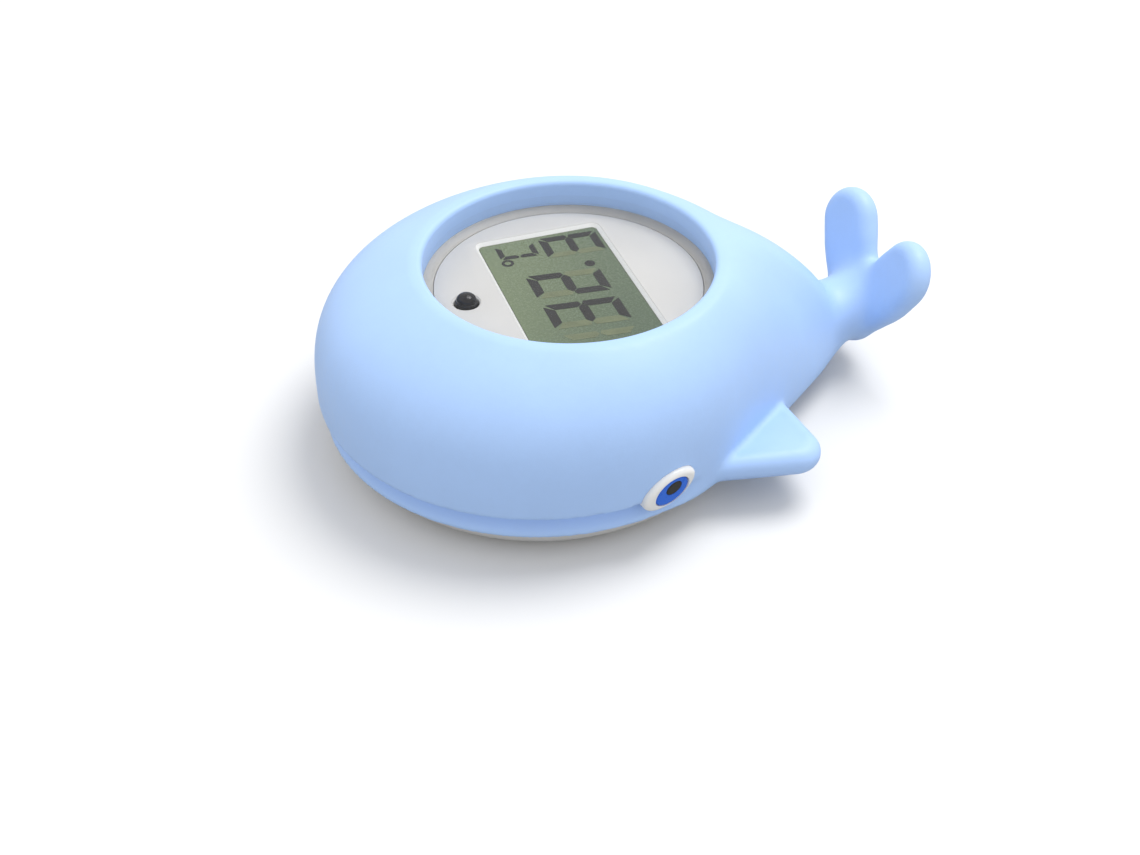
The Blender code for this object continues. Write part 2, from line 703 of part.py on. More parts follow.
def clear_lens():
    foot = FACE_UNDER + SEAL_HEIGHT + GAP
    profile = [
        (LENS_R - LENS_EDGE, LENS_TOP), (LENS_R, LENS_TOP - LENS_EDGE), (LENS_R, foot),
        (LENS_R - LENS_SKIRT, foot), (LENS_R - LENS_SKIRT, LENS_TOP - LENS_TOP_THICK),
    ]
    return finish(turned("clear_lens", profile), (0.93, 0.96, 0.97), 0.05, alpha=0.25)


def lens_seal():
    high = FACE_UNDER + SEAL_HEIGHT
    inner = LENS_R - SEAL_WIDTH
    profile = [(LENS_R, FACE_UNDER), (LENS_R, high), (inner, high), (inner, FACE_UNDER)]
    return finish(turned("lens_seal", profile, ring=True), (0.45, 0.47, 0.49), 0.6)


def face_plate():
    plate = turned("face_plate", [(FACE_R, FACE_UNDER), (FACE_R, FACE_Z)])
    (x0, x1), (y0, y1) = WINDOW_X, WINDOW_Y
    bm = bmesh.new()
    rings = []
    for z, grow in ((FACE_UNDER - GAP, 0.0), (FACE_Z - WINDOW_BEVEL, 0.0),
                    (FACE_Z + GAP, WINDOW_BEVEL + GAP)):
        rings.append([Vector(p) for p in ((x0 - grow, y0 - grow, z), (x1 + grow, y0 - grow, z),
                                          (x1 + grow, y1 + grow, z), (x0 - grow, y1 + grow, z))])
    loft(bm, rings)
    cut(plate, make_object("display_window", bm))
    cut(plate, turned("lamp_hole", [(LAMP_R + GAP, FACE_UNDER - GAP), (LAMP_R + GAP, FACE_Z + GAP)],
                      SMALL_STEPS, (LAMP_X, 0.0)))
    return finish(plate, (0.62, 0.63, 0.66), 0.45)


def lcd_panel():
    """The display: a plate under the face, with its glass raised into the window."""
    (x0, x1), (y0, y1) = WINDOW_X, WINDOW_Y
    bm = bmesh.new()
    rings = []
    for z, grow in ((PANEL_UNDER, PANEL_MARGIN), (PANEL_TOP, PANEL_MARGIN), (PANEL_TOP, -GAP),
                    (FACE_Z - GLASS_SINK, -GAP)):
        rings.append([Vector((x, y, z)) for x, y in ((x0 - grow, y0 - grow), (x1 + grow, y0 - grow),
                                                     (x1 + grow, y1 + grow), (x0 - grow, y1 + grow))])
    loft(bm, rings)
    return finish(make_object("lcd_panel", bm), (0.19, 0.24, 0.16), 0.25)


def contact_strip():
    """The soft strip that joins the panel's edge to the board."""
    x0 = WINDOW_X[0] + PANEL_MARGIN
    middle = (WINDOW_Y[0] + WINDOW_Y[1]) / 2
    strip = block("contact_strip", (x0, middle - STRIP_LENGTH / 2, BOARD_TOP + GAP),
                  (x0 + STRIP_WIDTH, middle + STRIP_LENGTH / 2, PANEL_UNDER - GAP))
    return finish(strip, (0.08, 0.08, 0.09), 0.7)


def alarm_lamp():
    under = BOARD_TOP + LAMP_STANDOFF
    top = FACE_Z + GAP
    profile = [(LAMP_R, under), (LAMP_R, top), (LAMP_DOME_R, top)]
    profile += [(LAMP_DOME_R * cos(a), top + LAMP_DOME_HEIGHT * sin(a))
                for a in (radians(18 * i) for i in range(1, 5))]
    lamp = turned("alarm_lamp", profile, 24, (LAMP_X, 0.0))
    for number, y in enumerate((-LAMP_R / 2, LAMP_R / 2)):
        half = LAMP_LEG / 2
        add(lamp, block(f"lamp_leg_{number + 1}", (LAMP_X - half, y - half, BOARD_TOP + GAP),
                        (LAMP_X + half, y + half, under + half)))
    return finish(lamp, (0.012, 0.012, 0.014), 0.08)


def circuit_board():
    board = turned("circuit_board", [(BOARD_R, BOARD_UNDER), (BOARD_R, BOARD_TOP)])
    for number, place in enumerate(board_screw_places()):
        cut(board, turned(f"board_hole_{number + 1}", [
            (SCREW_R + GAP, BOARD_UNDER - GAP), (SCREW_R + GAP, BOARD_TOP + GAP)], SMALL_STEPS, place))
    return finish(board, (0.03, 0.20, 0.07), 0.5)


def board_screws():
    for number, place in enumerate(board_screw_places()):
        screw(f"board_screw_{number + 1}", place, BOARD_TOP + GAP, BOARD_SCREW_LENGTH, False)


def chip_blob():
    """The black blob of resin over the chip, under the board."""
    high = BOARD_UNDER - GAP
    turns = [radians(25 * i) for i in range(4)]
    profile = [(CHIP_R * cos(a), high - CHIP_HEIGHT * sin(a)) for a in turns]
    blob = turned("chip_blob", profile, SMALL_STEPS * 2, (CHIP_X, 0.0))
    return finish(blob, (0.02, 0.02, 0.02), 0.35)


# Battery compartment

def button_cell():
    """The cell: its can below, and the smaller cap above."""
    high = CELL_Z + CELL_THICK
    edge = CELL_EDGE
    profile = [(CELL_R - edge, CELL_Z), (CELL_R, CELL_Z + edge), (CELL_R, high - edge * 2),
               (CELL_R - edge * 2, high - edge), (CELL_R - edge * 3, high)]
    cell = turned("button_cell", profile, TURN_STEPS, (CELL_X, 0.0))
    return finish(cell, (0.70, 0.71, 0.73), 0.25, 1.0)


def spring_contact():
    """A dished spring between the cell and the roof of its pocket."""
    low, high = CELL_Z + CELL_THICK + GAP, POCKET_TOP - GAP
    inner, outer = SPRING_EYE_R, CELL_R - SPRING_INSET
    bend = outer - SPRING_RIM
    profile = [(inner, low), (bend, high - METAL_THICK), (outer, high - METAL_THICK),
               (outer, high), (bend - METAL_THICK, high), (inner, low + METAL_THICK)]
    spring = turned("spring_contact", profile, TURN_STEPS, (CELL_X, 0.0), ring=True)
    return finish(spring, (0.75, 0.72, 0.62), 0.3, 1.0)


def side_contact():
    """A strip that touches the cell's rim and turns over at the top."""
    inner = CELL_X + CELL_R + GAP
    outer = inner + METAL_THICK
    turned_in = inner - CONTACT_TURN
    low, high = CELL_Z + CELL_EDGE, POCKET_TOP - GAP
    side = [(inner, low), (outer, low), (outer, high), (turned_in, high),
            (turned_in, high - METAL_THICK), (inner, high - METAL_THICK)]
    bm = bmesh.new()
    loft(bm, [[Vector((x, y, z)) for x, z in side] for y in (-CONTACT_WIDTH / 2, CONTACT_WIDTH / 2)])
    return finish(make_object("side_contact", bm), (0.75, 0.72, 0.62), 0.3, 1.0)


def battery_door():
    door = turned("battery_door", [(DOOR_R - DOOR_EDGE, 0.0), (DOOR_R, DOOR_EDGE), (DOOR_R, DOOR_TOP)],
                  TURN_STEPS, (CELL_X, 0.0))
    add(door, prism("door_lug_form", lug_outline(), DOOR_EDGE / 4, DOOR_TOP - DOOR_EDGE / 4))
    cut(door, turned("door_screw_hole", [
        (SCREW_HEAD_R + GAP, -GAP), (SCREW_HEAD_R + GAP, DOOR_SCREW_SEAT),
        (SCREW_R + GAP, DOOR_SCREW_SEAT), (SCREW_R + GAP, DOOR_TOP + GAP)],
        SMALL_STEPS, (DOOR_LUG_X, 0.0)))
    return finish(door, (0.78, 0.78, 0.78), 0.4)


def door_seal():
    high = DOOR_SEAL_Z + DOOR_SEAL_THICK
    outer, inner = DOOR_R - GAP, POCKET_R + GAP
    profile = [(outer, DOOR_SEAL_Z), (outer, high), (inner, high), (inner, DOOR_SEAL_Z)]
    seal = turned("door_seal", profile, TURN_STEPS, (CELL_X, 0.0), ring=True)
    return finish(seal, (0.10, 0.10, 0.11), 0.7)


def door_screw():
    screw("door_screw", (DOOR_LUG_X, 0.0), DOOR_SCREW_SEAT - GAP, DOOR_SCREW_LENGTH, True)


# Temperature sensor

def sensor_cap():
    """A steel thimble whose closed end meets the water."""
    inner = SENSOR_R - SENSOR_WALL
    profile = [(SENSOR_R - SENSOR_ROUND, 0.0), (SENSOR_R - SENSOR_ROUND / 4, SENSOR_ROUND / 4),
               (SENSOR_R, SENSOR_ROUND), (SENSOR_R, SENSOR_LENGTH), (inner, SENSOR_LENGTH),
               (inner, SENSOR_ROUND + SENSOR_WALL), (SENSOR_R - SENSOR_ROUND, SENSOR_WALL)]
    cap = turned("sensor_cap", profile, SMALL_STEPS * 2, (SENSOR_X, SENSOR_Y))
    return finish(cap, (0.72, 0.73, 0.74), 0.2, 1.0)


def sensor_bead():
    """The bead that feels the temperature, with its two leads."""
    low = SENSOR_WALL + GAP
    centre_z = low + BEAD_R
    turns = [radians(20 + 28 * i) for i in range(6)]
    profile = [(BEAD_R * sin(a), centre_z - BEAD_R * cos(a)) for a in turns]
    bead = turned("sensor_bead", profile, SMALL_STEPS, (SENSOR_X, SENSOR_Y))
    for number, side in enumerate((-1, 1)):
        x = SENSOR_X + side * BEAD_LEADS_APART / 2
        add(bead, block(f"bead_lead_{number + 1}", (x - BEAD_LEAD_R, SENSOR_Y - BEAD_LEAD_R, centre_z),
                        (x + BEAD_LEAD_R, SENSOR_Y + BEAD_LEAD_R, BOARD_UNDER - GAP)))
    return finish(bead, (0.15, 0.05, 0.03), 0.5)


# Eyes

def eye_frame(side):
    """Local X runs along the head towards the tail, Y up, Z out of the head."""
    y = sqrt((HEAD_R - EYE_SEAT) ** 2 - (EYE_X - HEAD_X) ** 2)
    out = Vector((EYE_X - HEAD_X, side * y, 0.0)).normalized()
    up = Vector((0.0, 0.0, 1.0))
    along = Vector((-out.y, out.x, 0.0)) * (1 if out.y < 0 else -1)
    turn = radians(EYE_TURN)
    long_axis = along * cos(turn) + up * sin(turn)
    high_axis = up * cos(turn) - along * sin(turn)
    normal = long_axis.cross(high_axis)
    if normal.dot(out) < 0:
        normal = -normal
    frame = Matrix((long_axis, high_axis, normal)).transposed().to_4x4()
    return Matrix.Translation((EYE_X, side * y, EYE_Z)) @ frame


def oval(length, height, shift=(0.0, 0.0), power=2.0, steps=28):
    """A closed oval; a power under 2 draws its ends out to points."""
    points = []
    for i in range(steps):
        a = 2 * pi * i / steps
        c, s = cos(a), sin(a)
        points.append((shift[0] + length / 2 * abs(c) ** (2 / power) * (1 if c > 0 else -1),
                       shift[1] + height / 2 * abs(s) ** (2 / power) * (1 if s > 0 else -1)))
    return points


def eye_solid(name, side, layers):
    """Loft oval layers, each an outline and a height out of the head."""
    bm = bmesh.new()
    frame = eye_frame(side)
    loft(bm, [[frame @ Vector((x, y, z)) for x, y in outline] for outline, z in layers])
    return make_object(name, bm)


def eye_socket(name, side):
    outline = oval(EYE_LENGTH + 2 * GAP, EYE_HEIGHT + 2 * GAP, power=EYE_POWER)
    return eye_solid(name, side, [(outline, -EYE_SINK), (outline, EYE_PROUD + EYE_SINK)])


def pupil_centre():
    return (IRIS_SHIFT[0] + PUPIL_SHIFT[0], IRIS_SHIFT[1] + PUPIL_SHIFT[1])


def eye_pieces(side, hand):
    white_base = -EYE_SINK + GAP
    iris_floor = EYE_PROUD - IRIS_DEPTH
    pupil_floor = EYE_PROUD - PUPIL_DEPTH

    def white_oval(inset):
        return oval(EYE_LENGTH - inset, EYE_HEIGHT - inset, power=EYE_POWER)

    def iris_oval(grow):
        return oval(IRIS_LENGTH + grow, IRIS_HEIGHT + grow, IRIS_SHIFT)

    def pupil_oval(grow):
        return oval(PUPIL_LENGTH + grow, PUPIL_HEIGHT + grow, pupil_centre())

    white = eye_solid(hand + "_eye_white", side, [
        (white_oval(0.0), white_base), (white_oval(0.0), EYE_PROUD - EYE_ROUND),
        (white_oval(EYE_ROUND * 0.6), EYE_PROUD - EYE_ROUND * 0.3), (white_oval(EYE_ROUND * 2), EYE_PROUD)])
    pocket = [(iris_oval(2 * GAP), iris_floor), (iris_oval(2 * GAP), EYE_PROUD + GAP)]
    cut(white, eye_solid(hand + "_iris_pocket", side, pocket))
    finish(white, (0.86, 0.86, 0.85), 0.2)
    iris = eye_solid(hand + "_eye_iris", side, [
        (iris_oval(0.0), iris_floor + GAP), (iris_oval(0.0), EYE_PROUD - IRIS_ROUND),
        (iris_oval(-2 * IRIS_ROUND), EYE_PROUD)])
    pocket = [(pupil_oval(2 * GAP), pupil_floor), (pupil_oval(2 * GAP), EYE_PROUD + GAP)]
    cut(iris, eye_solid(hand + "_pupil_pocket", side, pocket))
    finish(iris, (0.035, 0.15, 0.68), 0.25)
    pupil = eye_solid(hand + "_eye_pupil", side, [
        (pupil_oval(0.0), pupil_floor + GAP), (pupil_oval(0.0), EYE_PROUD)])
    finish(pupil, (0.04, 0.04, 0.038), 0.25)


def build():
    clear_scene()
    whale_body()
    belly_shell()
    case_screws()
    module_housing()
    clear_lens()
    lens_seal()
    face_plate()
    lcd_panel()
    contact_strip()
    alarm_lamp()
    circuit_board()
    board_screws()
    chip_blob()
    button_cell()
    spring_contact()
    side_contact()
    battery_door()
    door_seal()
    door_screw()
    sensor_cap()
    sensor_bead()
    for side, hand in ((-1, "left"), (1, "right")):
        eye_pieces(side, hand)


build()
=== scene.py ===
# Floating whale bath thermometer: smooth forms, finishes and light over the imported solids.
# Lengths in the dictionaries are millimetres, angles are degrees.
import bmesh
import bpy
import numpy as np
from math import asin, atan2, cos, hypot, pi, radians, sin
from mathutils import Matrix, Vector


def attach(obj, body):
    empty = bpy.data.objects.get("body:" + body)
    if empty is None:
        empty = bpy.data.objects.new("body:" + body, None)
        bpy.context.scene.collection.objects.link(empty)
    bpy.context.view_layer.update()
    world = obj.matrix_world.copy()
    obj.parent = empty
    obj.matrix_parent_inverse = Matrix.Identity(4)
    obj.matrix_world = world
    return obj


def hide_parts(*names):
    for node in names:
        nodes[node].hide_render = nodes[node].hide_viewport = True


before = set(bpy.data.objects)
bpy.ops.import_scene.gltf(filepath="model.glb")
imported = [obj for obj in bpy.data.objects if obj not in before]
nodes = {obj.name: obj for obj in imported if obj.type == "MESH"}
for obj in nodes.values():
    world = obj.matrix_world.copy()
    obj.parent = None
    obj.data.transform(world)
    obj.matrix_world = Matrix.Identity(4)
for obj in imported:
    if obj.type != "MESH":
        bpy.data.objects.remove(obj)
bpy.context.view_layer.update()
mm = 0.001
# clearance of the seats, and how far a cutter passes the surface
gap = 0.3
past = 1.0


# small helpers for shapes

def fade(low, high, value):
    t = np.clip((value - low) / (high - low), 0.0, 1.0)
    return t * t * (3 - 2 * t)


def blendOf(a, b, t):
    return a + (b - a) * t


def arcPoints(centre, radius, start, end, steps):
    turns = np.linspace(start, end, steps + 1)
    return np.stack([centre[0] + radius * np.cos(turns), centre[1] + radius * np.sin(turns)], 1)


def level(outline, height):
    height = np.broadcast_to(height, len(outline))
    return np.column_stack([outline, height])


def loft(name, rings, ringToRing=False):
    # rings are arrays of points in millimetres; ends are capped, or last meets first
    count = len(rings[0])
    points = np.concatenate(rings) * mm
    index = np.arange(len(rings) * count).reshape(len(rings), count)
    if ringToRing:
        index = np.vstack([index, index[:1]])
    low, high = index[:-1], index[1:]
    faces = np.stack([low, np.roll(low, -1, 1), np.roll(high, -1, 1), high], -1).reshape(-1, 4).tolist()
    if not ringToRing:
        faces += [index[0].tolist(), index[-1].tolist()]
    mesh = bpy.data.meshes.new(name)
    mesh.from_pydata(points.tolist(), [], faces)
    bm = bmesh.new()
    bm.from_mesh(mesh)
    bmesh.ops.recalc_face_normals(bm, faces=bm.faces)
    bm.to_mesh(mesh)
    bm.free()
    obj = bpy.data.objects.new(name, mesh)
    bpy.context.scene.collection.objects.link(obj)
    return obj


def ringAt(radius, height, steps, centre=(0.0, 0.0)):
    turns = np.arange(steps) * 2 * pi / steps
    return np.stack([centre[0] + radius * np.cos(turns), centre[1] + radius * np.sin(turns),
                     np.full(steps, float(height))], 1)


def lathe(name, profile, steps=128, centre=(0.0, 0.0), ringToRing=False):
    return loft(name, [ringAt(r, z, steps, centre) for r, z in profile], ringToRing)


def edgePoints(radius, top, edge):
    # an outer edge's points from the side to the top; edge lists (inset, drop)
    return [(radius - inset, top - drop) for inset, drop in edge]


def baked(obj):
    # the object with its modifiers applied, as a plain mesh
    graph = bpy.context.evaluated_depsgraph_get()
    graph.update()
    mesh = bpy.data.meshes.new_from_object(obj.evaluated_get(graph))
    old = obj.data
    obj.modifiers.clear()
    obj.data = mesh
    bpy.data.meshes.remove(old)
    return obj


def combine(obj, others, operation):
    for other in others:
        modifier = obj.modifiers.new("combine", "BOOLEAN")
        modifier.operation = operation
        modifier.solver = "EXACT"
        modifier.object = other
    baked(obj)
    for other in others:
        bpy.data.objects.remove(other, do_unlink=True)
    return obj


def joined(obj, others):
    bm = bmesh.new()
    for source in [obj] + others:
        bm.from_mesh(source.data)
    bm.to_mesh(obj.data)
    bm.free()
    for source in others:
        bpy.data.objects.remove(source, do_unlink=True)
    return obj


def smoothShade(obj, angle=35.0):
    obj.data.shade_smooth()
    obj.data.set_sharp_from_angle(angle=radians(angle))
    return obj


def done(obj, paint, *replaced):
    # finished piece: finish on, declared to the frame
    obj.data.materials.clear()
    obj.data.materials.append(paint)
    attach(obj, "root")
    if replaced:
        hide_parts(*replaced)
    return obj


# shader maths

class Wire:
    # a socket; arithmetic on it adds Math nodes

    def __init__(self, tree, socket):
        self.tree = tree
        self.socket = socket

    def node(self, kind, inputs=None, out=0, **settings):
        made = self.tree.nodes.new(kind)
        for key, value in settings.items():
            setattr(made, key, value)
        for key, value in (inputs or {}).items():
            if isinstance(value, Wire):
                self.tree.links.new(value.socket, made.inputs[key])
            else:
                made.inputs[key].default_value = value
        return Wire(self.tree, made.outputs[out])

    def maths(self, operation, first, second):
        return self.node("ShaderNodeMath", {0: first, 1: second}, operation=operation)

    def __add__(self, other):
        return self.maths("ADD", self, other)

    def __radd__(self, other):
        return self.maths("ADD", other, self)

    def __sub__(self, other):
        return self.maths("SUBTRACT", self, other)

    def __rsub__(self, other):
        return self.maths("SUBTRACT", other, self)

    def __mul__(self, other):
        return self.maths("MULTIPLY", self, other)

    def __rmul__(self, other):
        return self.maths("MULTIPLY", other, self)

    def ramp(self, low, high, start=0.0, end=1.0):
        return self.node("ShaderNodeMapRange", {"Value": self, "From Min": low, "From Max": high,
                                                "To Min": start, "To Max": end},
                         interpolation_type="SMOOTHSTEP")

    def noise(self, scale, detail=3.0, roughness=0.5):
        # self is a coordinate
        return self.node("ShaderNodeTexNoise", {"Vector": self, "Scale": scale, "Detail": detail,
                                                "Roughness": roughness})

    def between(self, first, second):
        # two colours or colour wires mixed by this factor
        wrap = [c if isinstance(c, Wire) else (*c, 1.0) for c in (first, second)]
        return self.node("ShaderNodeMix", {0: self, 6: wrap[0], 7: wrap[1]}, out=2, data_type="RGBA")

    def xyz(self):
        parts = self.node("ShaderNodeSeparateXYZ", {0: self})
        sockets = parts.socket.node.outputs
        return [Wire(self.tree, sockets[i]) for i in range(3)]


def newMaterial(name):
    material = bpy.data.materials.new(name)
    material.use_nodes = True
    tree = material.node_tree
    shader = tree.nodes["Principled BSDF"]
    place = Wire(tree, tree.nodes.new("ShaderNodeTexCoord").outputs["Object"])
    return material, tree, shader, place


def feed(tree, shader, key, wire):
    tree.links.new(wire.socket, shader.inputs[key])


def bumped(place, height, strength, distance):
    return place.node("ShaderNodeBump", {"Height": height, "Strength": strength, "Distance": distance})


def plastic(name, colour, rough, tint=0.05, grain=0.02, grainSize=2500.0, specular=0.5, spread=90.0):
    # moulded plastic: slow tint drift, finer mottling, uneven sheen and a fine surface grain
    material, tree, shader, place = newMaterial(name)
    slow = place.noise(spread, 2.0)
    fine = place.noise(spread * 9, 4.0)
    mottle = (slow * 0.65 + fine * 0.35).ramp(0.3, 0.7)
    dark = [c * (1 - tint) for c in colour]
    light = [min(c * (1 + tint), 1.0) for c in colour]
    feed(tree, shader, "Base Color", mottle.between(dark, light))
    feed(tree, shader, "Roughness", fine.ramp(0.25, 0.75, rough * 0.86, min(rough * 1.14, 1.0)))
    feed(tree, shader, "Normal", bumped(place, place.noise(grainSize, 2.0), grain, 0.0002))
    shader.inputs["Specular IOR Level"].default_value = specular
    return material


def metal(name, colour, rough, brush=0.3):
    # plated or drawn metal with streaks and small stains
    material, tree, shader, place = newMaterial(name)
    stretched = place.node("ShaderNodeVectorMath", {0: place, 1: (1.0, 14.0, 6.0)}, operation="MULTIPLY")
    streak = stretched.noise(900.0, 3.0)
    stain = place.noise(260.0, 3.0)
    feed(tree, shader, "Base Color", stain.ramp(0.35, 0.7).between([c * 0.86 for c in colour], colour))
    feed(tree, shader, "Roughness", streak.ramp(0.2, 0.8, rough * (1 - brush), rough * (1 + brush)))
    feed(tree, shader, "Normal", bumped(place, streak, 0.08, 0.0001))
    shader.inputs["Metallic"].default_value = 1.0
    return material


# the soft body

whale = {
    "headR": 38.3, "headX": -5.2, "tailR": 8.0, "tailX": 45.8,
    "wall": 2.2, "sideWall": 4.2, "cavityTailX": 35.0, "cavityTailR": 10.0,
    "undercut": 0.35, "undercutDrop": 0.5, "coreInset": 4.0, "collarZ": 24.6,
    "holeR": 24.1, "lipR": 26.8, "lipZ": 33.0, "lipRound": 0.9, "lipFlare": 1.02, "lipSteps": 8,
    "lipDrop": 0.27, "crestRows": (0.33, 0.66),
    "headWidestZ": 11.5, "tailWidestZ": 6.4, "headSkirtZ": 6.05, "tailSkirtZ": 3.8,
    "headFullness": 3.2, "tailFullness": 1.42, "headStart": 49.0, "tailStart": 2.5,
    "jawFullness": 10.0, "skirtFullness": 2.6,
    "mouthDepth": 2.7, "mouthEdge": (0.13, 0.17), "jawFlare": 0.8, "jawFlareFrom": 0.35,
    "mouthEndX": 11.0, "mouthFade": 9.0,
    "domeRows": 90, "roofRows": 14, "tailSteps": 14, "sideSteps": 30, "headSteps": 74,
    # rings of the skirt as shares of its height: close at the mouth's edge and at the rim
    "skirtRows": ((0.03, 0.12, 4), (0.135, 0.2, 9), (0.23, 0.94, 22), (0.95, 1.0, 8)),
    "voxel": 0.42, "evenRounds": 6, "evenBack": 0.53, "joinRounds": 70, "finRounds": 8,
}


def teardrop(headR, tailX, tailR):
    # a large round head and a small round tail, joined by straight sides
    headX = whale["headX"]
    lean = pi / 2 - asin((headR - tailR) / (tailX - headX))
    tail = arcPoints((tailX, 0.0), tailR, 0.0, lean, whale["tailSteps"])
    head = arcPoints((headX, 0.0), headR, lean, pi, whale["headSteps"])
    t = np.linspace(0, 1, whale["sideSteps"] + 1)[1:-1, None]
    upper = np.vstack([tail, tail[-1] + (head[0] - tail[-1]) * t, head])
    return np.vstack([upper, upper[1:-1][::-1] * (1, -1)])


def tailShare(x):
    return fade(whale["headX"] + whale["headR"] / 3, whale["tailX"], x)


def skirtHeight(outline):
    return blendOf(whale["headSkirtZ"], whale["tailSkirtZ"], tailShare(outline[:, 0]))


def bodyOutline():
    return teardrop(whale["headR"], whale["tailX"], whale["tailR"])


bellyForm = {
    "r": 35.3, "tailX": 29.0, "tailR": 12.0, "step": 1.6, "upstand": 2.4, "wall": 2.0, "edge": 0.12,
    "bowlRows": 22, "bowlSpacing": 1.6, "bowlTall": 0.94, "bowlRound": 0.62, "bowlCurve": 1.9,
    "flatInset": 6.5, "tubeR": 19.3, "tubeWall": 5.0, "tubeTop": 13.6,
    "screws": 3, "screwRing": 21.525, "screwTurn": 60.0, "screwSeat": 8.9, "headBore": 1.7, "bore": 1.1,
}


def bellyOutline(inset=0.0):
    return teardrop(bellyForm["r"] - inset, bellyForm["tailX"], bellyForm["tailR"] - inset)


def domeRings(outline, lipR, lipZ, rows):
    # from the lip out and down to the widest line, rounder on the head than on the tail
    x, y = outline.T
    share = tailShare(x)
    power = 2 / blendOf(whale["headFullness"], whale["tailFullness"], share)
    start = np.radians(blendOf(whale["headStart"], whale["tailStart"], share))
    turn = np.arctan2(y, x)
    nearX, nearY = lipR * np.cos(turn), lipR * np.sin(turn)
    widest = blendOf(whale["headWidestZ"], whale["tailWidestZ"], share)
    rings = []
    for row in range(rows + 1):
        angle = blendOf(start, pi / 2, row / rows)
        out = (np.sin(angle) ** power - np.sin(start) ** power) / (1 - np.sin(start) ** power)
        down = 1 - (np.maximum(np.cos(angle), 0.0) / np.cos(start)) ** power
        rings.append(np.stack([blendOf(nearX, x, out), blendOf(nearY, y, out),
                               blendOf(lipZ, widest, down)], 1))
    return rings


def skirtRings(outline, seam):
    # below the widest line: the mouth's step under the upper lip, the jaw set back, then its rim
    x, y = outline.T
    share = tailShare(x)
    widest = blendOf(whale["headWidestZ"], whale["tailWidestZ"], share)
    skirt = skirtHeight(outline)
    fullness = blendOf(whale["jawFullness"], whale["skirtFullness"], share)
    mouth = 1 - fade(whale["mouthEndX"] - whale["mouthFade"], whale["mouthEndX"], x)
    inwardWay = np.stack([whale["headX"] - x, -y], 1)
    inwardWay /= np.hypot(*inwardWay.T)[:, None]
    rings = []
    for down in np.concatenate([np.linspace(*row) for row in whale["skirtRows"]]):
        inward = 1 - np.maximum(1 - down ** fullness, 0.0) ** (1 / fullness)
        flare = whale["jawFlare"] * fade(whale["jawFlareFrom"], 1.0, down)
        groove = fade(*whale["mouthEdge"], down) * (1 - flare)
        flat = outline + (seam - outline) * inward[:, None]
        flat = flat + inwardWay * (whale["mouthDepth"] * groove * mouth)[:, None]
        rings.append(level(flat, blendOf(widest, skirt, down)))
    return rings


def hubOutline(hubs, shrink, turnStep=7.0):
    # outline round circles given anticlockwise, each made smaller by shrink
    points = []
    count = len(hubs)

    def leave(first, second):
        dx, dy = second[0] - first[0], second[1] - first[1]
        return atan2(dy, dx) - pi / 2 + asin((first[2] - second[2]) / hypot(dx, dy))

    for i in range(count):
        here, before, after = hubs[i], hubs[i - 1], hubs[(i + 1) % count]
        start, end = leave(before, here), leave(here, after)
        while end < start:
            end += 2 * pi
        steps = max(2, round((end - start) / radians(turnStep)))
        points.append(arcPoints(here[:2], here[2] - shrink, start, end, steps))
    return np.vstack(points)


def paddleRings(hubs, thick, rounding, rows=8):
    # a flat paddle with rounded edges, as rings stacked through its thickness
    rings = []
    for side in (-1, 1):
        for k in range(rows + 1):
            a = pi / 2 * (k / rows if side > 0 else 1 - k / rows)
            rings.append((rounding * (1 - cos(a)), side * (thick / 2 - rounding + rounding * sin(a))))
    return [level(hubOutline(hubs, shrink), z) for shrink, z in rings]


def placed(rings, origin, xWay, yWay, zWay):
    # rings moved to an origin and turned to three directions
    turn = np.array([xWay, yWay, zWay])
    return [ring @ turn + np.array(origin) for ring in rings]


finForm = {
    "root": (14.6, 29.5, 4.0), "rear": (29.2, 21.6, 3.0), "tip": (27.7, 31.8, 4.7),
    "z": 8.6, "thick": 4.8, "round": 2.35,
    # the fin sinks towards its root, by this much for each millimetre in from a slanting line
    "drop": 0.2, "dropReach": 12.0, "dropSlant": 0.425, "dropX": 20.0,
    # where the fin leaves the body, seen from above, and the zone round it that is evened out
    "joinX": (5.0, 14.0, 31.0, 40.0), "joinY": (37.0, 33.0, 20.0, 13.0), "joinReach": 3.5,
    "joinStart": (6.0, 12.0), "joinEnd": (34.0, 40.0), "joinFoot": (5.0, 7.0), "joinTop": (13.5, 17.0),
}


def finSolid(side):
    form = finForm
    hubs = [form["root"], form["rear"], form["tip"]]
    if side < 0:
        hubs = [(x, -y, r) for x, y, r in reversed(hubs)]
    rings = paddleRings(hubs, form["thick"], form["round"])
    for ring in rings:
        x, y, z = ring.T
        inboard = form["tip"][1] - form["dropSlant"] * (x - form["dropX"]) - abs(y)
        ring[:, 2] = z + form["z"] - form["drop"] * inboard.clip(0, form["dropReach"])
    return loft("fin", rings)


flukeForm = {
    "tilt": 75.0, "cup": 6.8, "foot": (56.4, 9.0), "thick": 4.6, "round": 2.2,
    "hubs": ((0.0, 0.0, 5.9), (8.1, 9.9, 6.2), (10.0, 13.4, 6.2)),
    "stalkStart": (46.0, 9.6), "stalkTall": 5.9, "stalkWide": 7.2, "stalkRise": 10.0,
    "stalkEndTall": 0.4, "stalkEndWide": 0.9, "stalkSides": 48, "stalkRows": 25,
    # zone round the stalk that is evened out
    "joinX": (43.0, 50.0), "joinZ": (17.0, 23.0), "joinSlant": 0.2, "joinSlantX": 56.0,
    "joinSide": (6.0, 12.0), "joinSideShare": 0.5,
}


